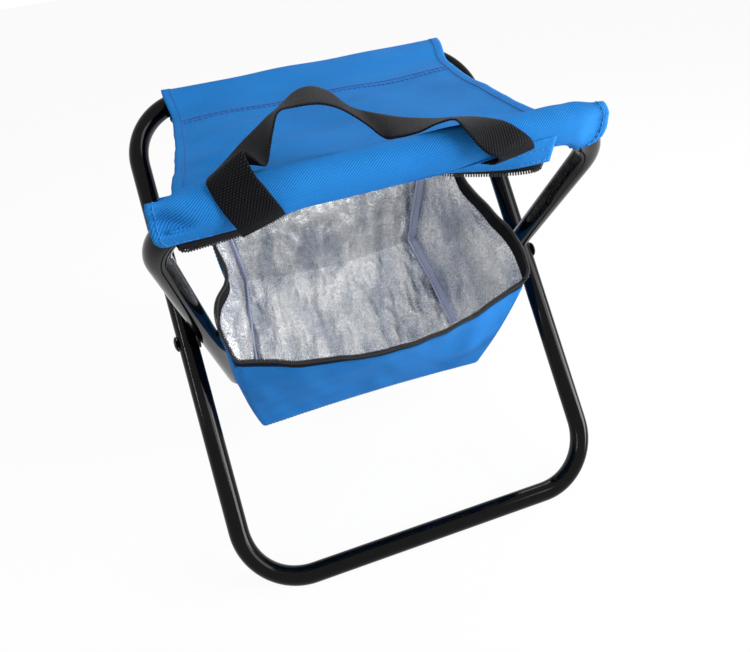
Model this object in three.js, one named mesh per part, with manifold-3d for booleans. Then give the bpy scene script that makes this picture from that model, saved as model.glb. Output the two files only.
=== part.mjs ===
// Folding cooler stool: two bent steel loops crossed as an X, a cloth seat slung between their top
// bars, and an insulated bag that hangs under the seat, unzipped below the front bar.
// Millimetres, +Z up, +X to the right as seen from the front, -Y towards the front.
// The origin is on the floor, midway between the two floor bars.

import * as THREE from 'three';
import { mergeVertices } from 'three/addons/utils/BufferGeometryUtils.js';
import Module from 'manifold-3d';

const wasm = await Module();
wasm.setup();

// Steel frame
const frame_width = 323;
const leg_below_pivot = 210;
const leg_above_pivot = 205;
const leg_lean = THREE.MathUtils.degToRad(40);
const tube_diameter = 16;
const bend_radius = 50;

// Pivots
const rivet_diameter = 6;
const rivet_head_diameter = 13;
const rivet_head_height = 2.6;
const rivet_tail_diameter = 9;
const rivet_tail_height = 1.4;
const spacer_diameter = 15;
const spacer_thickness = 1;
const washer_diameter = 12;
const washer_thickness = 1;

// Seat
const cloth_thickness = 0.9;
const front_sleeve_cover = THREE.MathUtils.degToRad(55);
const rear_sleeve_cover = THREE.MathUtils.degToRad(30);
const sleeve_end_rake = 6;
const rear_sleeve_slide = 6;
const sleeve_slack = 0.6;
const seat_leg_gap = 5.9;
const seat_edge_draw = 2;
const seat_sag = 15;
const seat_fold_height = 1.4;
const stitch_reach = 76;
const lid_edge_margin = 19;
const lid_gap = 1.3;
const lid_foam_thickness = 3;
const lining_thickness = 0.5;
const flap_width = 11;
const flap_left_gap = 6.9;
const flap_right_gap = 29.9;

// Bag, as it hangs unzipped with its front dropped
const rim_leg_gap = 9.4;
const floor_leg_gap = 15.4;
const rear_floor_leg_gap = 30.4;
const hang_leg_gap = 12.9;
const floor_slide = -5.5;
const floor_depth = 154;
const front_height = 147;
const floor_front_height = 52;
const floor_lean = THREE.MathUtils.degToRad(38.6);
const front_lean = THREE.MathUtils.degToRad(27.6);
const rim_bow = 15;
const rim_dip = 18;
const wall_bow = 4;
const foam_thickness = 3;
const ply_gap = 0.6;
const binding_width = 7;
const binding_thickness = 1.6;
const right_binding_lean = 1.14;

// Zip
const tape_width = 11;
const upper_tape_width = 6;
const tape_thickness = 0.8;
const coil_diameter = 3;
const zip_end_drop = 11;
const slider_length = 10;
const slider_width = 8;
const slider_height = 4.4;
const lug_thickness = 1;
const pull_length = 26;
const pull_width = 5;
const pull_thickness = 1.4;
const pin_diameter = 1.6;

// Carry handle
const webbing_width = 25;
const webbing_thickness = 1.3;
const handle_span_share = 0.77;
const handle_slide = -10;
const handle_rise = 34;

// Clearance between neighbours, and how far a cutter runs past what it cuts
const fit_gap = 0.3;
const overrun = 2;

// Counts
const tube_facets = 18;
const bend_steps = 8;
const bore_facets = 16;
const sleeve_facets = 20;
const coil_facets = 6;
const pin_facets = 12;
const seat_columns = 14;
const seat_rows = 16;
const seat_folds = 5;
const fold_slant = 1.5;
const lid_columns = 12;
const lid_rows = 8;
const wall_columns = 10;
const wall_rows = 6;
const binding_steps = 8;
const tape_steps = 10;
const handle_steps = 56;

const tube_radius = tube_diameter / 2;
const facet_angle = (2 * Math.PI) / tube_facets;
const tube_corner_radius = tube_radius / Math.cos(facet_angle / 2);
const outer_half_width = frame_width / 2 - tube_radius;
const inner_half_width = outer_half_width - tube_diameter - spacer_thickness - 2 * fit_gap;
const pivot_height = leg_below_pivot * Math.cos(leg_lean) + tube_radius;
const top_bar_height = pivot_height + leg_above_pivot * Math.cos(leg_lean);
const top_bar_reach = leg_above_pivot * Math.sin(leg_lean);
const room_half_width = inner_half_width - tube_radius;
const seat_half_width = room_half_width - seat_leg_gap;
const lid_half_width = seat_half_width - lid_edge_margin;
const flap_left = flap_left_gap - room_half_width;
const flap_right = room_half_width - flap_right_gap;
const rim_width = 2 * (room_half_width - rim_leg_gap);
const floor_width = 2 * (room_half_width - floor_leg_gap);
const rear_floor_width = 2 * (room_half_width - rear_floor_leg_gap);
const hang_width = 2 * (room_half_width - hang_leg_gap);
const sleeve_bore_radius = tube_corner_radius + sleeve_slack;
const sleeve_radius = sleeve_bore_radius + cloth_thickness;

const steel_paint = new THREE.MeshStandardMaterial({ color: '#101012', roughness: 0.22, metalness: 0.2 });
const zinc_steel = new THREE.MeshStandardMaterial({ color: '#2a2a2c', roughness: 0.35, metalness: 0.9 });
const nylon = new THREE.MeshStandardMaterial({ color: '#141414', roughness: 0.6, metalness: 0 });
const blue_cloth = new THREE.MeshStandardMaterial({ color: '#1f78d8', roughness: 0.85, metalness: 0 });
const foam = new THREE.MeshStandardMaterial({ color: '#e8e8e2', roughness: 0.9, metalness: 0 });
const foil = new THREE.MeshStandardMaterial({ color: '#c4c8ce', roughness: 0.3, metalness: 0.9 });
const binding_cloth = new THREE.MeshStandardMaterial({ color: '#7f88a6', roughness: 0.8, metalness: 0 });
const webbing = new THREE.MeshStandardMaterial({ color: '#1b1b1c', roughness: 0.75, metalness: 0 });

const stool = new THREE.Group();

function add_piece(name, geometry, material) {
  const piece = new THREE.Mesh(geometry, material);
  piece.name = name;
  stool.add(piece);
  return piece;
}

// Closed solids from rings of points. Each ring has the same even number of points. A run of rings
// either closes on itself or is capped at both ends, where point k faces point (count - 1 - k).

function signed_volume(points, faces) {
  const face_volume = ([a, b, c]) => points[a].dot(points[b].clone().cross(points[c])) / 6;
  return faces.reduce((sum, face) => sum + face_volume(face), 0);
}

function solid_from_rings(rings, closes) {
  const count = rings[0].length;
  const points = rings.flat();
  const faces = [];
  const last = closes ? rings.length : rings.length - 1;
  for (let row = 0; row < last; row += 1) {
    const next = (row + 1) % rings.length;
    for (let k = 0; k < count; k += 1) {
      const after = (k + 1) % count;
      faces.push([row * count + k, row * count + after, next * count + after]);
      faces.push([row * count + k, next * count + after, next * count + k]);
    }
  }
  if (!closes) {
    const end = (rings.length - 1) * count;
    for (let k = 0; k < count / 2 - 1; k += 1) {
      const across = count - 1 - k;
      faces.push([across, k + 1, k], [across, across - 1, k + 1]);
      faces.push([end + k, end + k + 1, end + across], [end + k + 1, end + across - 1, end + across]);
    }
  }
  if (signed_volume(points, faces) < 0) {
    faces.forEach((face) => face.reverse());
  }
  const geometry = new THREE.BufferGeometry();
  geometry.setAttribute('position', new THREE.Float32BufferAttribute(points.flatMap((p) => p.toArray()), 3));
  geometry.setIndex(faces.flat());
  return geometry;
}

// Shares from 0 to 1 in even steps.
function even_shares(steps) {
  return Array.from({ length: steps + 1 }, (_, step) => step / steps);
}

// A sheet of cloth: surface(u, v) gives a point, and the solid fills the depths from near to far
// along the surface's normal.
function sheet(surface, columns, rows, near, far) {
  const step = 1e-3;
  const depth_point = (u, v, depth) => {
    const along = surface(u + step, v).sub(surface(u - step, v));
    const up = surface(u, v + step).sub(surface(u, v - step));
    return surface(u, v).addScaledVector(along.cross(up).normalize(), depth);
  };
  const rings = even_shares(rows).map((v) => {
    const face = even_shares(columns).map((u) => depth_point(u, v, far));
    const back = even_shares(columns).map((u) => depth_point(u, v, near));
    return [...face, ...back.reverse()];
  });
  return solid_from_rings(rings, false);
}

// A strap or tape between two edges, given as two lists of points.
function ribbon(edge_a, edge_b, thickness) {
  const rings = edge_a.map((a, k) => {
    const b = edge_b[k];
    const before = Math.max(k - 1, 0);
    const after = Math.min(k + 1, edge_a.length - 1);
    const along = edge_a[after].clone().add(edge_b[after]).sub(edge_a[before]).sub(edge_b[before]);
    const half = along.cross(b.clone().sub(a)).setLength(thickness / 2);
    return [a.clone().add(half), b.clone().add(half), b.clone().sub(half), a.clone().sub(half)];
  });
  return solid_from_rings(rings, false);
}

function as_manifold(geometry) {
  const bare = geometry.clone();
  bare.deleteAttribute('normal');
  bare.deleteAttribute('uv');
  const merged = mergeVertices(bare);
  const mesh = new wasm.Mesh({
    numProp: 3,
    vertProperties: new Float32Array(merged.attributes.position.array),
    triVerts: new Uint32Array(merged.index.array),
  });
  return new wasm.Manifold(mesh);
}

function cut(geometry, cutter) {
  const mesh = as_manifold(geometry).subtract(as_manifold(cutter)).getMesh();
  const result = new THREE.BufferGeometry();
  result.setAttribute('position', new THREE.Float32BufferAttribute(mesh.vertProperties, 3));
  result.setIndex(Array.from(mesh.triVerts));
  return result;
}

// Steel frame: each loop is one tube, bent four times and welded shut. A positive lean puts the top
// bar at the rear. One facet of each floor bar lies flat on the floor.

function frame_loop(half_width, lean) {
  const across = new THREE.Vector3(1, 0, 0);
  const up = new THREE.Vector3(0, Math.sin(lean), Math.cos(lean));
  const normal = new THREE.Vector3(0, Math.cos(lean), -Math.sin(lean)).multiplyScalar(Math.sign(lean));
  const facet_turn = Math.abs(lean) % facet_angle;
  const side = half_width - bend_radius;
  const foot = bend_radius - leg_below_pivot;
  const head = leg_above_pivot - bend_radius;
  const bends = [
    { x: side, rise: foot, start: -Math.PI / 2 },
    { x: side, rise: head, start: 0 },
    { x: -side, rise: head, start: Math.PI / 2 },
    { x: -side, rise: foot, start: Math.PI },
  ];
  const rings = bends.flatMap(({ x, rise, start }) => even_shares(bend_steps).map((share) => {
    const turn = start + (share * Math.PI) / 2;
    const outward = across.clone().multiplyScalar(Math.cos(turn)).addScaledVector(up, Math.sin(turn));
    const centre = new THREE.Vector3(0, 0, pivot_height)
      .addScaledVector(across, x)
      .addScaledVector(up, rise)
      .addScaledVector(outward, bend_radius);
    return Array.from({ length: tube_facets }, (_, facet) => {
      const angle = facet_turn + (facet + 0.5) * facet_angle;
      return centre.clone()
        .addScaledVector(outward, tube_corner_radius * Math.cos(angle))
        .addScaledVector(normal, tube_corner_radius * Math.sin(angle));
    });
  }));
  return solid_from_rings(rings, true);
}

function pivot_bore() {
  const radius = rivet_diameter / 2 + fit_gap;
  const length = frame_width + 2 * overrun;
  const bore = new THREE.CylinderGeometry(radius, radius, length, bore_facets);
  return bore.rotateZ(Math.PI / 2).translate(0, 0, pivot_height);
}

add_piece('outer_frame_tube', cut(frame_loop(outer_half_width, leg_lean), pivot_bore()), steel_paint);
add_piece('inner_frame_tube', cut(frame_loop(inner_half_width, -leg_lean), pivot_bore()), steel_paint);

// Pivots: a domed rivet through both tubes on each side, with a spacer between the tubes and a
// washer under the clenched tail.

const head_seat = outer_half_width + tube_radius + fit_gap;
const spacer_seat = outer_half_width - tube_radius - fit_gap - spacer_thickness;
const washer_seat = inner_half_width - tube_radius - fit_gap - washer_thickness;
const tail_end = washer_seat - fit_gap - rivet_tail_height;

function rivet_geometry() {
  const dome = even_shares(5).map((share) => {
    const angle = (share * Math.PI) / 2;
    const radius = (rivet_head_diameter / 2) * Math.cos(angle);
    return new THREE.Vector2(radius, head_seat + rivet_head_height * Math.sin(angle));
  });
  dome[dome.length - 1].x = 0;
  const profile = [
    new THREE.Vector2(0, tail_end),
    new THREE.Vector2(rivet_diameter / 2, tail_end),
    new THREE.Vector2(rivet_tail_diameter / 2, tail_end + rivet_tail_height / 3),
    new THREE.Vector2(rivet_tail_diameter / 2, tail_end + rivet_tail_height),
    new THREE.Vector2(rivet_diameter / 2, tail_end + rivet_tail_height),
    new THREE.Vector2(rivet_diameter / 2, head_seat),
    ...dome,
  ];
  return new THREE.LatheGeometry(profile, bore_facets);
}

function ring_geometry(diameter, seat, thickness) {
  const bore_radius = rivet_diameter / 2 + fit_gap;
  const profile = [
    new THREE.Vector2(bore_radius, seat),
    new THREE.Vector2(diameter / 2, seat),
    new THREE.Vector2(diameter / 2, seat + thickness),
    new THREE.Vector2(bore_radius, seat + thickness),
    new THREE.Vector2(bore_radius, seat),
  ];
  return new THREE.LatheGeometry(profile, bore_facets);
}

[{ side: 'left', turn: Math.PI / 2 }, { side: 'right', turn: -Math.PI / 2 }].forEach(({ side, turn }) => {
  const set = [
    add_piece(`${side}_pivot_rivet`, rivet_geometry(), zinc_steel),
    add_piece(`${side}_pivot_spacer`, ring_geometry(spacer_diameter, spacer_seat, spacer_thickness), nylon),
    add_piece(
      `${side}_pivot_washer`,
      ring_geometry(washer_diameter, washer_seat, washer_thickness),
      zinc_steel,
    ),
  ];
  set.forEach((piece) => {
    piece.rotation.z = turn;
    piece.position.z = pivot_height;
  });
});

// Seat sleeves: each is a band of cloth round a top bar that covers the start of the bends, so its
// ends reach down after the inside of the tube. The ends are raked, shorter below than above.

function sleeve_fall(x, half_width) {
  const inside_radius = bend_radius - tube_corner_radius;
  const past = Math.max(Math.abs(x) - (half_width - bend_radius), 0);
  return inside_radius - Math.sqrt(inside_radius ** 2 - past ** 2);
}

function bar_sleeve(side, half_width, cover, slide) {
  const down = new THREE.Vector3(0, -side * Math.sin(leg_lean), -Math.cos(leg_lean));
  const out = new THREE.Vector3(0, side * Math.cos(leg_lean), -Math.sin(leg_lean));
  const straight = half_width - bend_radius;
  const reach = (bend_radius - tube_corner_radius) * Math.sin(cover);
  const bend_shares = [1, 0.9, 0.78, 0.6, 0.35, 0];
  const generatrix = (angle, radius) => {
    const end = reach + (sleeve_end_rake * (1 - Math.cos(angle))) / 2;
    const left = bend_shares.map((share) => -straight - share * (end - slide));
    const right = bend_shares.map((share) => straight + share * (end + slide)).reverse();
    return [...left, ...right].map((x) => {
      const fall = Math.cos(angle) > -1e-6 ? sleeve_fall(x, half_width) : 0;
      return new THREE.Vector3(x, side * top_bar_reach, top_bar_height)
        .addScaledVector(down, fall + radius * Math.cos(angle))
        .addScaledVector(out, radius * Math.sin(angle));
    });
  };
  const rings = Array.from({ length: sleeve_facets }, (_, facet) => {
    const angle = (2 * Math.PI * facet) / sleeve_facets;
    return [...generatrix(angle, sleeve_radius), ...generatrix(angle, sleeve_bore_radius).reverse()];
  });
  return solid_from_rings(rings, true);
}

add_piece('rear_sleeve', bar_sleeve(1, outer_half_width, rear_sleeve_cover, rear_sleeve_slide), blue_cloth);
add_piece('front_sleeve', bar_sleeve(-1, inner_half_width, front_sleeve_cover, 0), blue_cloth);

// Seat cloth: it sags between the bars, and its rear end is folded round the rear bar and stitched
// down. across runs from 0 at the left edge to 1 at the right, back from 0 at the front to 1.

const sleeve_seat = sleeve_radius + fit_gap + cloth_thickness / 2;
const seat_meets_sleeve = THREE.MathUtils.degToRad(35);
const seat_reach = top_bar_reach - sleeve_seat * Math.cos(seat_meets_sleeve);
const seat_end_height = top_bar_height + sleeve_seat * Math.sin(seat_meets_sleeve);
const sag_shares = [
  [0, 0], [0.05, 0.42], [0.13, 0.8], [0.3, 1], [0.55, 0.98], [0.8, 0.72], [0.92, 0.3], [1, 0],
];

function interpolated(rows, column) {
  const values = rows.map((row) => row[column]);
  return new THREE.CubicInterpolant(rows.map((row) => row[0]), values, 1, new Float64Array(1));
}

const sag_curve = interpolated(sag_shares, 1);

function clamped(share) {
  return Math.min(Math.max(share, 0), 1);
}

function seat_surface(across, back) {
  const share = clamped(back);
  const swell = Math.sin(Math.PI * share);
  const half = seat_half_width - seat_edge_draw * swell;
  const fold = Math.cos(Math.PI * (seat_folds * across + fold_slant * share)) * swell * seat_fold_height;
  return new THREE.Vector3(
    rear_sleeve_slide * share + (2 * across - 1) * half,
    (2 * share - 1) * seat_reach,
    seat_end_height - seat_sag * sag_curve.evaluate(share)[0] + fold,
  );
}

// A smaller sheet that follows the seat cloth at a depth below it.
function seat_share_at(reach) {
  return (reach / seat_reach + 1) / 2;
}

const stitch_share = seat_share_at(stitch_reach);
const cloth_underside = -cloth_thickness / 2;
const lid_side_share = (1 - lid_half_width / seat_half_width) / 2;
const lid_front_share = 0.14;
const lid_short_share = 0.03;
const lid_rear_share = stitch_share - lid_short_share;

function lid_surface(u, v) {
  const across = lid_side_share + u * (1 - 2 * lid_side_share);
  return seat_surface(across, lid_front_share + v * (lid_rear_share - lid_front_share));
}

function underside_surface(u, v) {
  const start = seat_surface(u, stitch_share);
  start.y += cloth_thickness;
  start.z += 2 * cloth_underside - fit_gap;
  const finish = seat_surface(u, 1);
  const fall = sleeve_fall(finish.x, outer_half_width);
  finish.y -= fall * Math.sin(leg_lean);
  finish.z = top_bar_height - sleeve_seat * Math.sin(seat_meets_sleeve) - fall * Math.cos(leg_lean);
  return start.lerp(finish, v);
}

const lid_foam_top = cloth_underside - lid_gap;
const lid_foam_base = lid_foam_top - lid_foam_thickness;
const lid_lining_top = lid_foam_base - ply_gap;
const lid_lining_base = lid_lining_top - lining_thickness;
const seat_cloth = sheet(seat_surface, seat_columns, seat_rows, cloth_underside, -cloth_underside);
const sleeve_underply = sheet(underside_surface, seat_columns, 2, cloth_underside, -cloth_underside);
const lid_foam = sheet(lid_surface, lid_columns, lid_rows, lid_foam_base, lid_foam_top);
const lid_lining = sheet(lid_surface, lid_columns, lid_rows, lid_lining_base, lid_lining_top);
add_piece('seat_panel', seat_cloth, blue_cloth);
add_piece('rear_sleeve_underside', sleeve_underply, blue_cloth);
add_piece('lid_foam', lid_foam, foam);
add_piece('lid_lining', lid_lining, foil);

// Front flap: a strip of the seat cloth below the front sleeve, which carries the upper half of the
// zip. It hangs at its ends and is tucked back under the bar in the middle.

const tuck_shares = [[0, 0], [0.15, 0.1], [0.4, 0.81], [0.6, 0.86], [0.8, 0.2], [1, 0]];
const tuck_curve = interpolated(tuck_shares, 1);
const flap_seat = sleeve_radius + fit_gap + cloth_thickness / 2;

function flap_point(u, distance) {
  const tuck = tuck_curve.evaluate(clamped(u))[0];
  const hang = leg_lean + tuck * (Math.PI / 2 - leg_lean);
  const x = flap_left + u * (flap_right - flap_left);
  return new THREE.Vector3(
    x,
    -top_bar_reach - flap_seat * Math.cos(hang) + distance * Math.sin(hang),
    top_bar_height - flap_seat * Math.sin(hang) - distance * Math.cos(hang),
  );
}

const flap_surface = (u, v) => flap_point(u, v * flap_width);
add_piece('front_flap', sheet(flap_surface, seat_columns, 2, cloth_underside, -cloth_underside), blue_cloth);

// Bag: five walls sewn into a box, each of a twill shell, a foam sheet and a foil lining. A wall is
// a patch between its four seams, so walls that share a seam meet along it.

function bowed(start, finish, bow) {
  return (share) => start.clone().lerp(finish, share).addScaledVector(bow, Math.sin(Math.PI * share));
}

function patch(bottom, top, start, finish) {
  return (across, rise) => {
    const u = clamped(across);
    const v = clamped(rise);
    return bottom(u).multiplyScalar(1 - v)
      .addScaledVector(top(u), v)
      .addScaledVector(start(v), 1 - u)
      .addScaledVector(finish(v), u)
      .addScaledVector(bottom(0), -(1 - u) * (1 - v))
      .addScaledVector(bottom(1), -u * (1 - v))
      .addScaledVector(top(0), -(1 - u) * v)
      .addScaledVector(top(1), -u * v);
  };
}

const rear_floor_reach = floor_depth * Math.cos(floor_lean);
const rear_floor_height = floor_front_height + floor_depth * Math.sin(floor_lean);
const hang_height = seat_surface(0.5, stitch_share).z + cloth_underside - fit_gap - seat_fold_height;
const back_height = Math.hypot(stitch_reach - rear_floor_reach, hang_height - rear_floor_height);

function bag_corners(side) {
  const front_floor = new THREE.Vector3((side * floor_width) / 2 + floor_slide, 0, floor_front_height);
  const rim = new THREE.Vector3(
    (side * rim_width) / 2,
    -front_height * Math.sin(front_lean),
    floor_front_height + front_height * Math.cos(front_lean),
  );
  const rear_x = (side * rear_floor_width) / 2 + floor_slide;
  const rear_floor = new THREE.Vector3(rear_x, rear_floor_reach, rear_floor_height);
  const hang = new THREE.Vector3((side * hang_width) / 2, stitch_reach, hang_height);
  const zip_end = hang.clone().lerp(rear_floor, zip_end_drop / back_height);
  return { front_floor, rim, rear_floor, hang, zip_end };
}

const left = bag_corners(-1);
const right = bag_corners(1);

// The open side rims droop between the zip's rear end and the front corner: share along the straight
// line, share that it hangs below it, and share that it leans into the bag.
const left_rim_shares = [
  [0, 0, 0], [0.2, 0.13, 0.01], [0.43, 0.2, 0.02], [0.61, 0.125, 0.036], [0.81, -0.04, -0.02], [1, 0, 0],
];
const right_rim_shares = [
  [0, 0, 0], [0.2, 0.12, 0], [0.38, 0.18, -0.01], [0.6, 0.06, -0.01], [0.81, -0.04, -0.018],
  [0.96, -0.07, -0.01], [1, 0, 0],
];

function side_rim({ zip_end, rim }, side, shares) {
  const line = rim.clone().sub(zip_end);
  const below = new THREE.Vector3(1, 0, 0).cross(line).setLength(line.length());
  const inward = new THREE.Vector3(-side * line.length(), 0, 0);
  const points = shares.map(([along, droop, lean]) => zip_end.clone()
    .addScaledVector(line, along)
    .addScaledVector(below, droop)
    .addScaledVector(inward, lean));
  const curve = new THREE.CatmullRomCurve3(points, false, 'centripetal');
  return (share) => curve.getPoint(share);
}

const no_bow = new THREE.Vector3();
const front_seam = bowed(left.front_floor, right.front_floor, new THREE.Vector3(0, 0, wall_bow));
const rear_seam = bowed(left.rear_floor, right.rear_floor, new THREE.Vector3(0, 0, -2 * wall_bow));
const front_rim = bowed(left.rim, right.rim, new THREE.Vector3(0, -rim_bow, -rim_dip));
const hang_seam = bowed(left.hang, right.hang, no_bow);
const side_seams = (corners, side) => ({
  floor: bowed(corners.rear_floor, corners.front_floor, new THREE.Vector3(side * wall_bow, 0, -wall_bow)),
  front: bowed(corners.front_floor, corners.rim, new THREE.Vector3(side * wall_bow, 0, 0)),
  back: bowed(corners.rear_floor, corners.hang, no_bow),
});
const left_seams = side_seams(left, -1);
const right_seams = side_seams(right, 1);
const zip_end_share = 1 - zip_end_drop / back_height;
const left_rim = side_rim(left, -1, left_rim_shares);
const right_rim = side_rim(right, 1, right_rim_shares);
const reversed = (curve) => (share) => curve(1 - share);

const side_patch = (seams, rim) => patch(
  seams.floor,
  rim,
  (share) => seams.back(share * zip_end_share),
  seams.front,
);

const walls = {
  front: {
    surface: patch(front_seam, front_rim, left_seams.front, right_seams.front),
    inward: -1, width: floor_width, height: front_height, zipped: true,
  },
  back: {
    surface: patch(rear_seam, hang_seam, left_seams.back, right_seams.back),
    inward: 1, width: rear_floor_width, height: back_height, zipped: false,
  },
  left: {
    surface: side_patch(left_seams, left_rim),
    inward: -1, width: floor_depth, height: front_height, zipped: true,
  },
  right: {
    surface: side_patch(right_seams, right_rim),
    inward: 1, width: floor_depth, height: front_height, zipped: true,
  },
  floor: {
    surface: patch(front_seam, rear_seam, reversed(left_seams.floor), reversed(right_seams.floor)),
    inward: 1, width: rear_floor_width, height: floor_depth, zipped: false,
  },
};

// Each ply is cut back from the seams by its own depth, a little more where walls meet at a sharp
// angle, and from a zipped rim by the width of the zip tape.
const foam_near = cloth_thickness + ply_gap;
const lining_near = foam_near + foam_thickness + ply_gap;
const plies = [
  { name: 'shell', near: 0, far: cloth_thickness, material: blue_cloth },
  { name: 'foam', near: foam_near, far: foam_near + foam_thickness, material: foam },
  { name: 'lining', near: lining_near, far: lining_near + lining_thickness, material: foil },
];
const sharp_seam_share = 1.35;
const seam_inset = (far) => far * sharp_seam_share + fit_gap;

function wall_ply({ surface, inward, width, height, zipped }, { near, far }) {
  const inset = seam_inset(far);
  const side_share = inset / width;
  const bottom_share = inset / height;
  const top_share = zipped ? (tape_width + 3 * fit_gap) / height : inset / height;
  const trimmed = (u, v) => surface(
    side_share + u * (1 - 2 * side_share),
    bottom_share + v * (1 - bottom_share - top_share),
  );
  const depths = [inward * near, inward * far];
  return sheet(trimmed, wall_columns, wall_rows, Math.min(...depths), Math.max(...depths));
}

Object.entries(walls).forEach(([side, wall]) => {
  plies.forEach((ply) => {
    add_piece(`bag_${side}_${ply.name}`, wall_ply(wall, ply), ply.material);
  });
});

// Grey binding covers the raw edges of the inside seams and stands up from them.

const binding_foot = lining_near * Math.SQRT2;
const binding_end_share = 0.1;

function binding(seam, inward) {
  const rise = inward.clone().normalize();
  const stations = even_shares(binding_steps).map((share) => seam(
    binding_end_share + (1 - 2 * binding_end_share) * share,
  ));
  const foot = stations.map((point) => point.clone().addScaledVector(rise, binding_foot));
  const edge = foot.map((point) => point.clone().addScaledVector(rise, binding_width));
  return ribbon(foot, edge, binding_thickness);
}

// The right wall leans out, so the binding of its floor seam leans over towards the floor.
[
  { name: 'left', side: -1, seams: left_seams, floor_bias: 1 },
  { name: 'right', side: 1, seams: right_seams, floor_bias: right_binding_lean },
].forEach(
  ({ name, side, seams, floor_bias }) => {
    const into_back = new THREE.Vector3(-side, -1, 0);
    const into_floor = new THREE.Vector3(-side * floor_bias, -Math.sin(floor_lean), Math.cos(floor_lean));
    add_piece(`${name}_back_binding`, binding(seams.back, into_back), binding_cloth);
    add_piece(`${name}_floor_binding`, binding(seams.floor, into_floor), binding_cloth);
  },
);

// Zip: a black tape with a coil on its free edge, on each side of the opening. The lower half stands
// on the bag's three open rims. The upper half follows the lid's sides and the front flap.

const coil_seat = coil_diameter / 2 + 2 * fit_gap;

function coil(edge, sewn_edge) {
  const rings = edge.map((point, k) => {
    const away = point.clone().sub(sewn_edge[k]).normalize();
    const before = edge[Math.max(k - 1, 0)];
    const after = edge[Math.min(k + 1, edge.length - 1)];
    const side = after.clone().sub(before).cross(away).normalize();
    return Array.from({ length: coil_facets }, (_, facet) => {
      const angle = (2 * Math.PI * facet) / coil_facets;
      return point.clone()
        .addScaledVector(away, coil_seat + (coil_diameter / 2) * Math.cos(angle))
        .addScaledVector(side, (coil_diameter / 2) * Math.sin(angle));
    });
  });
  return solid_from_rings(rings, false);
}

function lower_tape_edge(depth) {
  const edge = ({ surface, width, height }) => even_shares(wall_columns).map((share) => {
    const side_share = seam_inset(cloth_thickness) / width;
    return surface(side_share + share * (1 - 2 * side_share), 1 - depth / height);
  });
  return [...edge(walls.left), ...edge(walls.front), ...edge(walls.right).reverse()];
}

const lower_free_edge = lower_tape_edge(0);
const lower_sewn_edge = lower_tape_edge(tape_width);
const lower_tape = ribbon(lower_free_edge, lower_sewn_edge, tape_thickness);
add_piece('lower_zip_tape', lower_tape, webbing);
add_piece('lower_zip_coil', coil(lower_free_edge, lower_sewn_edge), webbing);

const upper_side_reach = hang_width / 2 - tape_width / 3;
const upper_front_share = 0.2;
const flap_tape_shares = { start: 0.08, length: 0.86 };
const upper_rear_share = stitch_share - 2 * lid_short_share;

function upper_side_edge(side, depth) {
  const across = (1 + (side * upper_side_reach) / seat_half_width) / 2;
  return even_shares(tape_steps).map((share) => {
    const back = upper_rear_share + share * (upper_front_share - upper_rear_share);
    const point = seat_surface(across, back);
    point.z -= depth + cloth_thickness / 2 + lid_gap;
    return point;
  });
}

function upper_tape_edge(depth) {
  const front = even_shares(tape_steps).map((share) => flap_point(
    flap_tape_shares.start + flap_tape_shares.length * share,
    flap_width + 2 * fit_gap + depth,
  ));
  return [...upper_side_edge(-1, depth), ...front, ...upper_side_edge(1, depth).reverse()];
}

const upper_sewn_edge = upper_tape_edge(0);
const upper_free_edge = upper_tape_edge(upper_tape_width);
add_piece('upper_zip_tape', ribbon(upper_free_edge, upper_sewn_edge, tape_thickness), webbing);
add_piece('upper_zip_coil', coil(upper_free_edge, upper_sewn_edge), webbing);

// Slider: it is parked at the rear end of the right side, where the two halves of the zip start, and
// its pull hangs from a pin between two lugs.

const eye_radius = pin_diameter / 2 + fit_gap;
const eye_rim = eye_radius + lug_thickness;
const pin_drop = eye_rim + fit_gap;
const lug_height = pin_drop + pin_diameter / 2 + lug_thickness;
const slider_nose_share = 0.6;
const slider_centre = right.zip_end.clone();
slider_centre.x += (slider_width + coil_diameter) / 2 + 3 * fit_gap;
slider_centre.y -= slider_length / 2;

function box(width, depth, height) {
  return new THREE.BoxGeometry(width, depth, height);
}

function joined(first, ...others) {
  const whole = others.reduce((sum, geometry) => sum.add(as_manifold(geometry)), as_manifold(first));
  const mesh = whole.getMesh();
  const result = new THREE.BufferGeometry();
  result.setAttribute('position', new THREE.Float32BufferAttribute(mesh.vertProperties, 3));
  result.setIndex(Array.from(mesh.triVerts));
  return result;
}

function slider_geometry() {
  const nose_width = slider_width * slider_nose_share;
  const outline = new THREE.Shape([
    new THREE.Vector2(-nose_width / 2, -slider_length / 2),
    new THREE.Vector2(nose_width / 2, -slider_length / 2),
    new THREE.Vector2(slider_width / 2, slider_length / 4),
    new THREE.Vector2(slider_width / 3, slider_length / 2),
    new THREE.Vector2(-slider_width / 3, slider_length / 2),
    new THREE.Vector2(-slider_width / 2, slider_length / 4),
  ]);
  const body = new THREE.ExtrudeGeometry(outline, { depth: slider_height, bevelEnabled: false });
  const lug_offset = pull_width / 2 + fit_gap + lug_thickness / 2;
  const lugs = [-1, 1].map((side) => box(lug_thickness, lug_height, lug_height + overrun)
    .translate(side * lug_offset, 0, (overrun - lug_height) / 2));
  const pin = new THREE.CylinderGeometry(pin_diameter / 2, pin_diameter / 2, 2 * lug_offset, pin_facets)
    .rotateZ(Math.PI / 2)
    .translate(0, 0, -pin_drop);
  return joined(body, ...lugs, pin);
}

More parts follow.
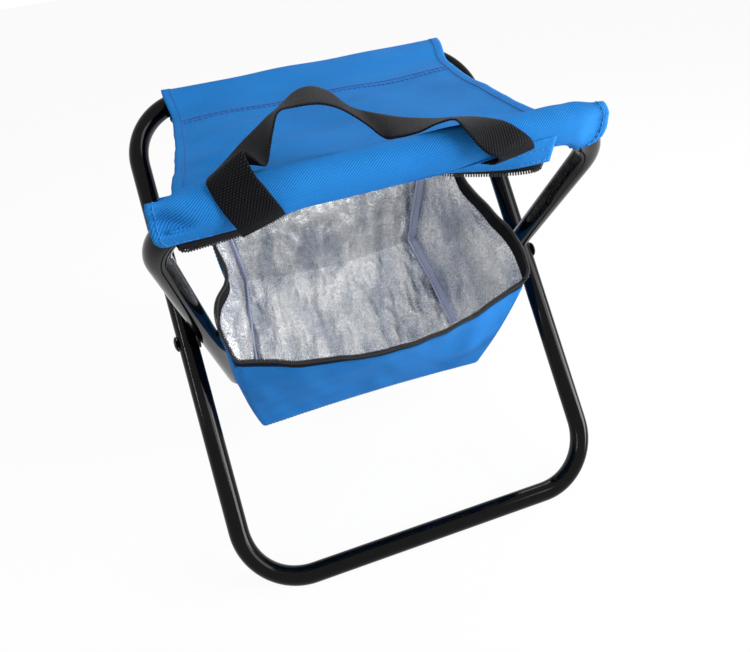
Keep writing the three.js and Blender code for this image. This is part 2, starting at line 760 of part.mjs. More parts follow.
function pull_geometry() {
  const outline = new THREE.Shape();
  outline.absarc(0, 0, eye_rim, -Math.PI / 6, (7 * Math.PI) / 6, false);
  outline.lineTo(-pull_thickness / 2, -2 * eye_rim);
  outline.lineTo(-pull_thickness / 2, -pull_length);
  outline.lineTo(pull_thickness / 2, -pull_length);
  outline.lineTo(pull_thickness / 2, -2 * eye_rim);
  outline.holes.push(new THREE.Path().absarc(0, 0, eye_radius, 0, 2 * Math.PI, true));
  const settings = { depth: pull_width, bevelEnabled: false, curveSegments: pin_facets };
  const plate = new THREE.ExtrudeGeometry(outline, settings);
  return plate.translate(0, 0, -pull_width / 2).rotateX(Math.PI / 2).rotateZ(Math.PI / 2);
}

const slider = add_piece('zip_slider', slider_geometry(), zinc_steel);
slider.position.copy(slider_centre);
slider.position.z -= slider_height / 2;
const pull = add_piece('zip_pull', pull_geometry(), zinc_steel);
pull.position.copy(slider.position);
pull.position.z -= pin_drop;

// Carry handle: a webbing strap sewn by both ends under the front sleeve. It climbs over the sleeve,
// turns on edge, arches back over the seat and comes down again. Each row gives the strap's middle
// in shares of the half span and the rise, and its width direction as a turn and a tilt in degrees.

const handle_half_span = (inner_half_width - bend_radius) * handle_span_share;
const handle_shares = [
  [-0.98, -0.25, -0.38, 0, 17],
  [-1.02, -0.335, -0.12, 0, 14],
  [-1.09, -0.325, 0.14, -2, 7],
  [-1.15, -0.19, 0.35, -6, 0],
  [-1.12, 0.12, 0.5, -12, -4],
  [-1.0, 0.38, 0.5, -18, -17],
  [-0.88, 0.7, 0.54, -43, -16],
  [-0.74, 0.88, 0.75, -79, 2],
  [-0.575, 0.97, 0.92, -98, 1],
  [-0.37, 1.01, 0.98, -103, -9],
  [-0.17, 0.94, 0.86, -104, -1],
  [-0.04, 0.73, 0.69, -106, 11],
  [0.13, 0.61, 0.45, -93, -14],
  [0.31, 0.59, 0.37, -110, -9],
  [0.47, 0.41, 0.38, -111, 0],
  [0.6, 0.2, 0.42, -113, 8],
  [0.73, 0.06, 0.41, -120, 5],
  [0.91, -0.03, 0.39, -140, 0],
  [1.06, -0.17, 0.36, -162, 0],
  [1.15, -0.3, 0.2, -178, 0],
  [1.17, -0.335, -0.02, -180, -4],
  [1.12, -0.31, -0.2, -180, 4],
  [1.03, -0.25, -0.37, -180, 20],
];

function handle_edge(side) {
  const points = handle_shares.map(([along, back, rise, turn, tilt]) => {
    const heading = THREE.MathUtils.degToRad(turn);
    const slope = THREE.MathUtils.degToRad(tilt);
    const width_direction = new THREE.Vector3(
      Math.cos(heading) * Math.cos(slope),
      Math.sin(heading) * Math.cos(slope),
      Math.sin(slope),
    );
    return new THREE.Vector3(
      handle_slide + along * handle_half_span,
      -top_bar_reach + back * handle_rise,
      top_bar_height + rise * handle_rise,
    ).addScaledVector(width_direction, (side * webbing_width) / 2);
  });
  return new THREE.CatmullRomCurve3(points, false, 'centripetal').getPoints(handle_steps);
}

add_piece('carry_handle', ribbon(handle_edge(-1), handle_edge(1), webbing_thickness), webbing);

export default stool;
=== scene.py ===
import math

import bmesh
import bpy
import numpy as np
from mathutils import Matrix, Vector


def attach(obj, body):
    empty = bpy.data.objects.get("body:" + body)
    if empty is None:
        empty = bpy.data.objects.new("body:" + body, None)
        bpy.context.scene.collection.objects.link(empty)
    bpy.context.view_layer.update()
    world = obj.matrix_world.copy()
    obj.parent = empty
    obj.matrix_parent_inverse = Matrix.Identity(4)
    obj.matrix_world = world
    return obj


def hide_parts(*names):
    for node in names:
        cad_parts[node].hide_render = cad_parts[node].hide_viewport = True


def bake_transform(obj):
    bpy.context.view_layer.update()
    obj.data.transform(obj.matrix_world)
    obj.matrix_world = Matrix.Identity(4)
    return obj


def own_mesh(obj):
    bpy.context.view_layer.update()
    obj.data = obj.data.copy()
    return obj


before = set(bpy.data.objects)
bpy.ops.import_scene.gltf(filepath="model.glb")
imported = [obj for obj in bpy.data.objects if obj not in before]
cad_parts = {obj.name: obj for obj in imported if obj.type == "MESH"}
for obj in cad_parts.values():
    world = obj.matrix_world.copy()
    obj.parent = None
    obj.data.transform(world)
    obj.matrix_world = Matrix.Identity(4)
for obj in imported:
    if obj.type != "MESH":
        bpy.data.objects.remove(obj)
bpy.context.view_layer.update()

# Steel loops. Two tubes of 16 mm, each bent at four corners and welded into a ring, coated with
# gloss black powder. The outer loop leans back, the inner one forward, and they cross as an X.

mm = 0.001
tube_radius = 8.0
bend_radius = 50.0
leg_below, leg_above = 210.0, 205.0
lean = math.radians(40)
pivot_height = leg_below * math.cos(lean) + tube_radius
bar_height = pivot_height + leg_above * math.cos(lean)
bar_reach = leg_above * math.sin(lean)
outer_half, inner_half = 153.5, 135.9


def linear(hex_code):
    levels = [int(hex_code[i:i + 2], 16) / 255 for i in (1, 3, 5)]
    return tuple(c / 12.92 if c <= 0.04045 else ((c + 0.055) / 1.055) ** 2.4 for c in levels) + (1.0,)


def add_node(material, kind, inputs=None, stops=None, **settings):
    """Adds a shader node. inputs are values, or what to link: a socket, or a node for its first output. stops
    are a ramp's (place, colour) pairs."""
    node = material.node_tree.nodes.new("ShaderNode" + kind)
    for key, value in settings.items():
        setattr(node, key, value)
    for key, value in (inputs or {}).items():
        if isinstance(value, bpy.types.Node):
            value = value.outputs[0]
        if isinstance(value, bpy.types.NodeSocket):
            material.node_tree.links.new(value, node.inputs[key])
        else:
            node.inputs[key].default_value = value
    for number, (place, colour) in enumerate(stops or ()):
        elements = node.color_ramp.elements
        element = elements[number] if number < 2 else elements.new(place)
        element.position = place
        element.color = linear(colour) if isinstance(colour, str) else (colour, colour, colour, 1)
    return node


def new_material(name):
    material = bpy.data.materials.new(name)
    material.use_nodes = True
    material.node_tree.nodes.clear()
    place = add_node(material, "TexCoord").outputs["Object"]
    return material, place


def surface(material, **inputs):
    """Ends a material with its shader. The keywords are the shader's inputs, with _ for a blank."""
    inputs = {key.replace("_", " "): value for key, value in inputs.items()}
    shader = add_node(material, "BsdfPrincipled", inputs)
    add_node(material, "OutputMaterial", {"Surface": shader})


# Gloss black powder coat: cured paint with a faint orange peel, 1.5 mm from wave to wave, which
# breaks up the edges of the highlights, and dull smears where it is handled.
black_coat, place = new_material("gloss_black_powder_coat")
peel = add_node(black_coat, "TexNoise", {"Vector": place, "Scale": 1 / 0.0015, "Detail": 1.0})
smear = add_node(black_coat, "TexNoise", {"Vector": place, "Scale": 1 / 0.03, "Detail": 4.0})
coat_colour = add_node(black_coat, "ValToRGB", {"Fac": smear}, [(0.35, "#020203"), (0.7, "#060607")])
coat_gloss = add_node(black_coat, "ValToRGB", {"Fac": smear}, [(0.3, 0.06), (0.75, 0.13)])
coat_relief = add_node(black_coat, "Bump", {"Height": peel, "Strength": 0.25, "Distance": 0.00008})
surface(black_coat, Base_Color=coat_colour, Roughness=coat_gloss, Normal=coat_relief, Specular_IOR_Level=0.13)


def placed(name, data):
    made = bpy.data.objects.new(name, data)
    bpy.context.scene.collection.objects.link(made)
    return made


def piece(name, parts, materials):
    """Joins parts into one mesh. A part has points in mm, faces, flat coordinates in metres for each point or
    for each corner of a face, and the number of its material, which is 0 if it isn't given."""
    points, faces, numbers, flats = [], [], [], []
    offset = 0
    for part in parts:
        points.append(part["points"])
        faces += [tuple(int(i) + offset for i in face) for face in part["faces"]]
        numbers += [part.get("number", 0)] * len(part["faces"])
        corners = np.concatenate([np.asarray(face) for face in part["faces"]])
        if "corner_uv" in part:
            flats.append(part["corner_uv"])
        else:
            flats.append(part["uv"][corners] if "uv" in part else np.zeros((len(corners), 2)))
        offset += len(part["points"])
    mesh = bpy.data.meshes.new(name)
    mesh.from_pydata((np.concatenate(points) * mm).tolist(), [], faces)
    layer = mesh.uv_layers.new(name="cloth")
    layer.data.foreach_set("uv", np.concatenate(flats).astype(float).ravel())
    mesh.polygons.foreach_set("material_index", numbers)
    mesh.polygons.foreach_set("use_smooth", [True] * len(faces))
    work = bmesh.new()
    work.from_mesh(mesh)
    bmesh.ops.recalc_face_normals(work, faces=work.faces)
    work.to_mesh(mesh)
    work.free()
    for material in materials:
        mesh.materials.append(material)
    return placed(name, mesh)


def stands_for(made, slot, *nodes):
    """Hides the solids that the piece takes the place of. Which finish it has, slot, is not used."""
    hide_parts(*nodes)


def around(count):
    """The angles of evenly spaced points round a circle."""
    return np.arange(count) * 2 * math.pi / count


def ring_part(rings, closes=False):
    """A skin through rings of points, each ring closed on itself. An open run of rings gets two end caps."""
    rings = np.asarray(rings, float)
    rows, count = rings.shape[:2]
    faces = []
    for row in range(rows if closes else rows - 1):
        after = (row + 1) % rows
        for k in range(count):
            step = (k + 1) % count
            faces.append((row * count + k, row * count + step, after * count + step, after * count + k))
    if not closes:
        faces.append(tuple(range(count))[::-1])
        faces.append(tuple((rows - 1) * count + k for k in range(count)))
    return {"points": rings.reshape(-1, 3), "faces": faces}


points_round_tube, rings_in_bend, rings_in_leg = 48, 25, 10
# in its bends the tube is a little flatter and wider, by shares of its radius, and the former leaves a
# shallow groove on their inside: its depth in mm at the lower bends, and half its width as an angle
bend_flattening, bend_widening = 0.05, 0.03
lower_groove, groove_angle = 0.4, 0.42


def loop_rings(half_width, side, upper_groove):
    """Rings of the tube round a loop. side is 1 for the loop whose top bar is at the rear."""
    up = np.array([0, side * math.sin(lean), math.cos(lean)])
    normal = np.array([0, math.cos(lean), -side * math.sin(lean)])
    straight = half_width - bend_radius
    bends = [(straight, bend_radius - leg_below, -90, lower_groove),
             (straight, leg_above - bend_radius, 0, upper_groove),
             (-straight, leg_above - bend_radius, 90, upper_groove),
             (-straight, bend_radius - leg_below, 180, lower_groove)]
    angles = around(points_round_tube)
    in_groove = np.exp(-(np.abs(angles - math.pi) / groove_angle) ** 2)
    rings = []
    for number, (x, rise, start, groove_depth) in enumerate(bends):
        for share in np.linspace(0, 1, rings_in_bend):
            turn = math.radians(start + 90 * share)
            outward = np.array([math.cos(turn), 0, 0]) + up * math.sin(turn)
            centre = np.array([x, 0, pivot_height]) + up * rise + outward * bend_radius
            press = math.sin(math.pi * share) ** 2
            radial = tube_radius * (1 - bend_flattening * press) - groove_depth * press * in_groove
            rings.append(centre + np.outer(radial * np.cos(angles), outward)
                         + np.outer(tube_radius * (1 + bend_widening * press) * np.sin(angles), normal))
        if number in (0, 2):
            outward = np.array([math.copysign(1, x), 0, 0])
            foot = outward * half_width + np.array([0, 0, pivot_height])
            for share in np.linspace(0, 1, rings_in_leg + 2)[1:-1]:
                centre = foot + up * (rise + (bends[number + 1][1] - rise) * share)
                rings.append(centre + np.outer(tube_radius * np.cos(angles), outward)
                             + np.outer(tube_radius * np.sin(angles), normal))
    return rings


for name, half_width, side, upper_groove in (("outer", outer_half, 1, 0.6), ("inner", inner_half, -1, 1.5)):
    rings = loop_rings(half_width, side, upper_groove)
    loop = piece(f"{name}_loop", [ring_part(rings, closes=True)], [black_coat])
    stands_for(loop, "black_steel", f"{name}_frame_tube")
    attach(loop, f"{name}_frame")

# Pivots. A domed steel rivet goes through both tubes on each side, with a flat nylon spacer between
# the tubes and a washer under the end that is clenched over it.

# Black zinc plate: passivated steel, brushed a little by the press tool, a dull dark metal.
black_zinc, place = new_material("black_zinc_plate")
grain = add_node(black_zinc, "TexNoise", {"Vector": place, "Scale": 1 / 0.0009, "Detail": 5.0})
zinc_colour = add_node(black_zinc, "ValToRGB", {"Fac": grain}, [(0.3, "#1c1c1e"), (0.8, "#3c3c40")])
zinc_gloss = add_node(black_zinc, "ValToRGB", {"Fac": grain}, [(0.3, 0.26), (0.8, 0.45)])
zinc_relief = add_node(black_zinc, "Bump", {"Height": grain, "Strength": 0.2, "Distance": 0.00006})
surface(black_zinc, Base_Color=zinc_colour, Metallic=0.85, Roughness=zinc_gloss, Normal=zinc_relief)


def grained(name, size, dark, light, roughness, relief=0.0):
    """A plain finish that runs between two shades, with grains of a size in metres, which may stand up."""
    material, place = new_material(name)
    grain = add_node(material, "TexNoise", {"Vector": place, "Scale": 1 / size})
    shade = add_node(material, "ValToRGB", {"Fac": grain}, [(0.3, dark), (0.8, light)])
    inputs = {"Base_Color": shade, "Roughness": roughness}
    if relief:
        raised = add_node(material, "Bump", {"Height": grain, "Strength": 0.2, "Distance": relief})
        inputs["Normal"] = raised
    surface(material, **inputs)
    return material


# Moulded nylon: matt black, with the fine sparked grain of its mould.
black_nylon = grained("moulded_black_nylon", 0.0005, "#0e0e0f", "#1d1d1f", roughness=0.5, relief=0.00005)


def turned_rings(profile, count, height=0.0):
    """Rings of a round piece that lies along x, from rows of its radius and its place in x."""
    angles = around(count)
    return [np.stack([np.full(count, x), r * np.cos(angles), height + r * np.sin(angles)], 1)
            for r, x in profile]


# (radius, distance from the stool's middle) along each turned piece
rivet_profile = [(0.01, 126.0), (1.6, 125.95), (3.6, 126.1), (4.4, 126.5), (4.5, 126.9), (4.3, 127.2),
                 (3.0, 127.3), (3.0, 161.8), (6.3, 161.8), (6.5, 162.1), (6.3, 162.7), (5.3, 163.4),
                 (3.8, 164.0), (2.0, 164.3), (0.01, 164.4)]
spacer_profile = [(3.3, 144.2), (7.2, 144.2), (7.5, 144.4), (7.5, 145.0), (7.2, 145.2), (3.3, 145.2)]
washer_profile = [(3.3, 126.6), (5.8, 126.6), (6.0, 126.75), (6.0, 127.45), (5.8, 127.6), (3.3, 127.6)]
points_round_pivot = 40
for side_name, side in (("left", -1), ("right", 1)):
    for kind, profile, material, slot in (("rivet", rivet_profile, black_zinc, "black_fittings"),
                                          ("spacer", spacer_profile, black_nylon, "black_nylon"),
                                          ("washer", washer_profile, black_zinc, "black_fittings")):
        rings = turned_rings([(r, side * x) for r, x in profile], points_round_pivot, pivot_height)
        pivot = piece(f"{side_name}_{kind}", [ring_part(rings, closes=kind != "rivet")], [material])
        stands_for(pivot, slot, f"{side_name}_pivot_{kind}")
        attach(pivot, "outer_frame")

# Seat cloth. One length of coarse polyester: its front edge is sewn under the front sleeve, it sags
# to the rear bar, goes round it and comes back below to a zigzag seam, which makes the rear sleeve.

cloth_thickness = 0.9
# the seat is sewn to the front sleeve at this distance from the bar's axis and this angle over it
sleeve_reach, seam_angle = 10.37, math.radians(35)
seat_reach = bar_reach - sleeve_reach * math.cos(seam_angle)
seat_end_height = bar_height + sleeve_reach * math.sin(seam_angle)
seat_half, seat_sag, stitch_reach = 122.0, 15.0, 76.0
stitch_share = (stitch_reach / seat_reach + 1) / 2


def smooth_through(rows):
    """A smooth curve through (place, value) rows."""
    xs, ys = np.array(rows, float).T
    slopes = np.gradient(ys, xs)

    def at(x):
        x = np.clip(x, xs[0], xs[-1])
        k = np.clip(np.searchsorted(xs, x, side="right") - 1, 0, len(xs) - 2)
        span = xs[k + 1] - xs[k]
        t = (x - xs[k]) / span
        return ((2 * t ** 3 - 3 * t ** 2 + 1) * ys[k] + (t ** 3 - 2 * t ** 2 + t) * span * slopes[k]
                + (3 * t ** 2 - 2 * t ** 3) * ys[k + 1] + (t ** 3 - t ** 2) * span * slopes[k + 1])
    return at


def soft_step(x, low, high):
    t = np.clip((x - low) / (high - low), 0, 1)
    return t * t * (3 - 2 * t)


def waves(points, length, seed, stretch=(1, 1, 1)):
    """Smooth uneven waves of about the given length in mm, mostly between -1 and 1. They are fourteen sine
    waves in different directions, which seldom add up to more than 5."""
    random = np.random.default_rng(seed)
    total = 0
    for _ in range(14):
        heading = random.normal(size=3)
        heading /= np.linalg.norm(heading)
        reach = length * random.uniform(0.7, 1.5)
        turns = (points * np.array(stretch)) @ heading * 2 * math.pi / reach
        total = total + np.sin(turns + random.uniform(0, 6.28))
    return total / 5


# the share of the sag at each share of the way back
sag_at = smooth_through([(0, 0), (0.05, 0.42), (0.13, 0.8), (0.3, 1), (0.55, 0.98), (0.8, 0.72), (0.92, 0.3),
                         (1, 0)])
# pleats that run out from the front sleeve and from the left edge: their place in y at their start, their
# slope, their start and stop in x, and their height
pleats = ((-79, 0.02, -95, 60, 2.4), (-30, 0.27, -118, -40, 2.0), (-52, 0.2, -118, -50, 1.8))
pleat_width = 4.5


def seat_dent(points):
    """How far the dents of the seat cloth stand above its smooth sag, in mm."""
    inside = soft_step(points[..., 1], -seat_reach, -92) * (1 - soft_step(points[..., 1], 60, 78))
    flat = points * [1, 1, 0]
    from_side = seat_half - np.abs(points[..., 0] - 3)
    middle = soft_step(from_side, 4, 30)
    dent = 2.0 * waves(flat, 90, 3, (0.6, 1.2, 0)) + 1.1 * waves(flat, 34, 5, (0.35, 1.0, 0)) * middle
    # the side edges pucker, and the cloth gathers behind the front sleeve
    dent = dent + 0.6 * waves(flat, 60, 9, (0.5, 1.4, 0)) * np.exp(-(from_side / 14) ** 2)
    dent = dent + 0.7 * waves(flat, 24, 8, (1.4, 0.5, 0)) * np.exp(-((points[..., 1] + 106) / 14) ** 2)
    for crest, slope, start, stop, height in pleats:
        off = points[..., 1] - crest - slope * (points[..., 0] - start)
        share = (points[..., 0] - start) / (stop - start)
        # each has a ridge and, 8 mm before it, a valley
        pleat = height * (np.exp(-(off / pleat_width) ** 2) - 0.9 * np.exp(-((off + 8) / pleat_width) ** 2))
        dent = dent + pleat * np.sin(math.pi * np.clip(share, 0, 1)) * soft_step(from_side, 9, 24)
    return dent * inside


def seat_point(across, back, dented=True):
    """The seat's middle surface in mm. across is 0 at the left edge, back is 0 at the front."""
    across, back = np.broadcast_arrays(np.asarray(across, float), np.asarray(back, float))
    swell = np.sin(math.pi * back)
    half = seat_half - 2 * swell
    fold = np.cos(math.pi * (5 * across + 1.5 * back)) * swell * 1.4
    point = np.stack([6 * back + (2 * across - 1) * half, (2 * back - 1) * seat_reach,
                      seat_end_height - seat_sag * sag_at(back) + fold], -1)
    if dented:
        point[..., 2] += seat_dent(point)
    return point


def unit(vectors):
    return vectors / (np.linalg.norm(vectors, axis=-1, keepdims=True) + 1e-12)


def normals_of(grid):
    return unit(np.cross(np.gradient(grid, axis=1), np.gradient(grid, axis=0)))


def sheet_part(grid, flat, thickness, sink=0.5):
    """Cloth with its real thickness, from a grid of points (rows, columns, 3) in mm. sink is the share of the
    thickness that lies behind the points."""
    rows, columns = grid.shape[:2]
    normal = normals_of(grid)
    thick = np.broadcast_to(np.asarray(thickness, float), (rows, columns))[..., None]
    front, behind = grid + normal * thick * (1 - sink), grid - normal * thick * sink
    size = rows * columns
    i, j = np.meshgrid(np.arange(rows - 1), np.arange(columns - 1), indexing="ij")
    corner = i * columns + j
    quads = np.stack([corner, corner + 1, corner + columns + 1, corner + columns], -1).reshape(-1, 4)
    last_row = (rows - 1) * columns
    rim = []
    for j in range(columns - 1):
        rim += [(j, j + 1), (last_row + j + 1, last_row + j)]
    for i in range(0, last_row, columns):
        rim += [(i + columns, i), (i + columns - 1, i + 2 * columns - 1)]
    faces = quads.tolist() + (quads[:, ::-1] + size).tolist() + [(a + size, b + size, b, a) for a, b in rim]
    uv = flat.reshape(-1, 2)
    return {"points": np.concatenate([front.reshape(-1, 3), behind.reshape(-1, 3)]), "faces": faces,
            "uv": np.concatenate([uv, uv])}


def path_length(path):
    return np.linalg.norm(np.diff(path, axis=0), axis=1).sum()


def distances(path):
    """How far along a path each of its points lies."""
    return np.concatenate([[0], np.cumsum(np.linalg.norm(np.diff(path, axis=0), axis=1))])


def walk(path, value, spots):
    """Values of a path, at distances along it."""
    steps = distances(path)
    return np.stack([np.interp(spots, steps, column) for column in value.T], -1)


stitch_length = 2.6
# along a stitch: share of its length, height of its middle and width, both in shares of its radius
stitch_shares = np.array([0, 0.12, 0.5, 0.88, 1.0])
stitch_heights = np.array([-0.6, 0.35, 0.6, 0.35, -0.6])
stitch_widths = np.array([0.5, 1, 1, 1, 0.5])


def stitch_part(path, normals, gap=0.9, radius=0.26, legs=None):
    """A row of stitches along a path on the cloth: short round threads that dip into it at both ends. It has
    as many as fit, or as many as legs says. Their thread is the piece's second material."""
    way = path_length(path) - gap
    count = max(round(way / (stitch_length + gap)), 1) if legs is None else legs
    length = way / count - gap
    starts = gap + np.arange(count) * (length + gap)
    spots = (starts[:, None] + length * stitch_shares).ravel()
    centre = walk(path, path, spots).reshape(count, 5, 3)
    outward = unit(walk(path, normals, spots).reshape(count, 5, 3))
    side = unit(np.cross(centre[:, -1:] - centre[:, :1], outward))
    centre = centre + outward * (radius * stitch_heights)[:, None]
    wide = radius * stitch_widths
    angles = around(6)
    rings = (centre[:, :, None] + side[:, :, None] * (wide[:, None] * np.cos(angles))[..., None]
             + outward[:, :, None] * (wide[:, None] * np.sin(angles))[..., None])
    one, size = ring_part(rings[0])["faces"], rings[0].size // 3
    faces = [tuple(i + size * n for i in face) for n in range(count) for face in one]
    return {"points": rings.reshape(-1, 3), "faces": faces, "number": 1}


def sample(values, rows_at, columns_at):
    """Values on a grid at fractional rows and columns."""
    rows, columns = values.shape[:2]
    i = np.clip(np.floor(rows_at).astype(int), 0, rows - 2)
    j = np.clip(np.floor(columns_at).astype(int), 0, columns - 2)
    a, b = (rows_at - i)[:, None], (columns_at - j)[:, None]
    return ((values[i, j] * (1 - a) + values[i + 1, j] * a) * (1 - b)
            + (values[i, j + 1] * (1 - a) + values[i + 1, j + 1] * a) * b)


def seam_part(grid, rows_at, columns_at, lift, **settings):
    """Stitches on a sheet, through places given as fractional rows and columns of its grid."""
    rows_at, columns_at = np.broadcast_arrays(np.asarray(rows_at, float), np.asarray(columns_at, float))
    outward = sample(normals_of(grid), rows_at, columns_at) * np.sign(lift)
    path = sample(grid, rows_at, columns_at) + outward * abs(lift)
    return stitch_part(path, outward, **settings)


def woven(name, weave_shaded_colours, pitch, slant, relief, sheen=0.0, roughness=0.75, cross=0.62, over=0.45):
    """A cloth drawn from its own flat coordinates: slanted lines of thread at a pitch in metres, crossed by
    finer threads, over a slow change of shade. The colours run from the gaps between threads to their tops:
    the gaps are painted darker as shade and the tops lighter as a painted highlight."""
    material, place = new_material(name)
    flat = add_node(material, "UVMap", uv_map="cloth").outputs["UV"]
    slanted = add_node(material, "Mapping", {"Vector": flat, "Rotation": (0, 0, math.radians(slant))})
    # a wave texture has 20 radians for each unit of its scale, so 0.314 divided by the pitch gives the lines
    lines = add_node(material, "TexWave",
                     {"Vector": slanted, "Scale": 0.314 / pitch, "Distortion": 0.5, "Detail Scale": 0.3})
    threads = add_node(material, "TexWave",
                       {"Vector": flat, "Scale": 0.314 / (pitch * cross), "Distortion": 0.4},
                       bands_direction="Y")
    softer = add_node(material, "Math", {0: threads.outputs["Fac"], 1: over, 2: 1 - over},
                      operation="MULTIPLY_ADD")
    weave = add_node(material, "Math", {0: lines.outputs["Fac"], 1: softer}, operation="MULTIPLY")
    shade = add_node(material, "TexNoise",
                     {"Vector": place, "Scale": 1 / 0.05, "Detail": 5.0, "Roughness": 0.6})
    speck = add_node(material, "TexNoise", {"Vector": place, "Scale": 1 / 0.0012, "Detail": 2.0})
    mix = add_node(material, "Math", {0: shade, 1: 0.5, 2: weave}, operation="MULTIPLY_ADD")
    mix = add_node(material, "Math", {0: speck, 1: 0.4, 2: mix}, operation="MULTIPLY_ADD")
    deep, middle, light = weave_shaded_colours
    # painted shade and highlight: the gaps between threads take the deep colour as shade and their tops the
    # light one as a highlight, over the cloth's own slow change of tone
    tone_and_painted_weave_shade = add_node(material, "ValToRGB", {"Fac": mix}, [(0.38, deep), (0.68, middle), (1.0, light)])
    rough = add_node(material, "Math", {0: speck, 1: 0.35, 2: weave}, operation="MULTIPLY_ADD")
    bump = add_node(material, "Bump", {"Height": rough, "Strength": 0.8, "Distance": relief})
    surface(material, Base_Color=tone_and_painted_weave_shade, Roughness=roughness, Normal=bump,
            Sheen_Weight=sheen, Sheen_Roughness=0.4, Specular_IOR_Level=0.06)
    return material


# Coated polyester of 600 denier: a dull twill with lines 1.1 mm apart and a slow change of shade.
blue_polyester = woven("blue_twill_polyester", ("#1060ae", "#176fbb", "#2e85cf"), 0.0011, 52, 0.0001,
                       cross=0.35)
# Spun polyester sewing thread, dull: a dark one for the zigzag, whose dark colour is partly painted shade
# of its stitch holes, and a light one for the hems, which shows as a dotted line on the cloth. Its plies are
# 0.6 mm long.
thread_ply, thread_roughness = 0.0006, 0.6
dark_thread_with_painted_shade = grained("dark_blue_thread_with_painted_shade", thread_ply, "#0c4a92", "#1763b0", thread_roughness)
light_thread = grained("light_blue_spun_thread", thread_ply, "#1f6dbb", "#3d8cd4", thread_roughness)

columns = 121
# more rows over the front edge, where the cloth drops fast
back = np.concatenate([np.linspace(0, 0.1, 16)[:-1], np.linspace(0.1, stitch_share, 92)])
seat_rows = seat_point(np.linspace(0, 1, columns)[None, :], back[:, None])
seam_height = float(seat_point(0.5, stitch_share, False)[2])
# round the rear bar: share of the way, distance back, height
wrap_rows = np.array([
    (0.0, stitch_reach, seam_height), (0.14, 90.0, seam_height + 1.7), (0.27, 104.0, seam_height + 5.2),
    (0.38, 115.5, bar_height + 6.6), (0.46, 124.0, bar_height + 9.4), (0.53, 131.8, bar_height + 10.6),
    (0.60, 138.8, bar_height + 7.6), (0.66, 142.0, bar_height + 0.4), (0.72, 139.2, bar_height - 7.6),
    (0.78, 132.2, bar_height - 10.8), (0.85, 118.0, bar_height - 10.6), (0.92, 98.0, seam_height - 3.4),
    (1.0, stitch_reach, seam_height - 2.2)])
shares = np.linspace(0, 1, 96)[1:, None]
edge = seat_rows[-1]
# the sleeve sits 5 mm to the right, flares out over the bar and narrows again at its hem
sleeve_middle = 5.0
turn_out = soft_step(shares, 0.1, 0.5)
flare = 0.045 - 0.06 * soft_step(shares, 0.78, 0.92)
wrap = np.zeros((len(shares), columns, 3))
wrap[..., 0] = sleeve_middle + (edge[:, 0] - sleeve_middle) * (1 + flare * turn_out) + 1.2 * turn_out
wrap[..., 1] = smooth_through(wrap_rows[:, [0, 1]])(shares)
wrap[..., 2] = (smooth_through(wrap_rows[:, [0, 2]])(shares)
                + (edge[:, 2] - seam_height) * np.exp(-(shares / 0.18) ** 2))
# past the straight part of the bar the lower ply follows the inside of the bend
inside = bend_radius - tube_radius
past = np.clip(np.abs(wrap[..., 0]) - (outer_half - bend_radius), 0, inside)
on_lower_ply = soft_step(shares, 0.62, 0.78)
fall = (inside - np.sqrt(inside ** 2 - past ** 2)) * on_lower_ply * (1 - soft_step(shares, 0.93, 1.0))
wrap[..., 1] -= fall * math.sin(lean)
wrap[..., 2] -= fall * math.cos(lean)
cloth = np.concatenate([seat_rows, wrap])
run = distances(cloth[:, columns // 2])[:, None]
seam_run, whole_run = run[len(seat_rows) - 1, 0], run[-1, 0]
# the sleeve is uneven away from its seam and its hem, and the seam itself pulls the cloth down
wrapped = soft_step(run, seam_run + 8, seam_run + 22) * (1 - soft_step(run, whole_run - 16, whole_run - 4))
seam_dip = 0.5 * np.exp(-((run - seam_run) / 2.2) ** 2)
cloth[..., 2] += 0.6 * waves(cloth, 30, 12, (0.5, 1, 1)) * wrapped - seam_dip
# the side edges are turned in and sewn, and ripple a little
from_side = np.minimum(np.arange(columns), np.arange(columns)[::-1])[None, :] * 2 * seat_half / (columns - 1)
ripple = 0.35 * np.sin(run * 2 * math.pi / 61 + 1.1) + 0.12 * np.sin(run * 2 * math.pi / 19)
ripple = ripple * np.exp(-(from_side / 10) ** 2) * (1 - soft_step(run, 178, 200))
cloth[..., 0] += np.sign(np.linspace(-1, 1, columns)) * ripple
flat = np.stack(np.broadcast_arrays(cloth[..., 0] * mm, run * mm), -1)
hemmed = 1 + 0.9 * (1 - soft_step(from_side, 6.5, 8.0))
parts = [sheet_part(cloth, flat, cloth_thickness * hemmed)]
zigzag_legs, zigzag_swing = 108, 0.8
spots = np.linspace(3, columns - 4, zigzag_legs + 1)
zigzag = zigzag_swing * np.where(np.arange(zigzag_legs + 1) % 2, 1, -1)
for offset in (-2.0, 1.7):
    parts.append(seam_part(cloth, len(seat_rows) - 1 + offset + zigzag, spots, 0.45,
                           gap=0.5, radius=0.5, legs=zigzag_legs))
for column in (3.4, columns - 4.4):
    parts.append(seam_part(cloth, np.linspace(3, len(cloth) - 46, 260), column, 0.85))
seat_cloth = piece("seat_cloth", parts, [blue_polyester, dark_thread_with_painted_shade])
stands_for(seat_cloth, "blue_polyester", "seat_panel", "rear_sleeve", "rear_sleeve_underside")


def bends_with_seat(made):
    """Bakes the piece's place into its mesh."""
    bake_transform(made)


bends_with_seat(seat_cloth)

# Lid. Under the seat cloth hangs a pad of white foam with a silver lining, the top of the cool bag.
# It is sewn to the cloth in front of the rear seam and stops short of the front bar.

# Expanded polyethylene foam: white, with closed cells of about 1 mm, dull.
white_foam, place = new_material("white_polyethylene_foam")
cells = add_node(white_foam, "TexVoronoi", {"Vector": place, "Scale": 1 / 0.0011})
foam_shade = add_node(white_foam, "ValToRGB", {"Fac": cells}, [(0.0, "#f1f1ec"), (0.7, "#dcdcd5")])
foam_relief = add_node(white_foam, "Bump", {"Height": cells, "Strength": 0.4, "Distance": 0.0002})
surface(white_foam, Base_Color=foam_shade, Roughness=0.7, Normal=foam_relief)
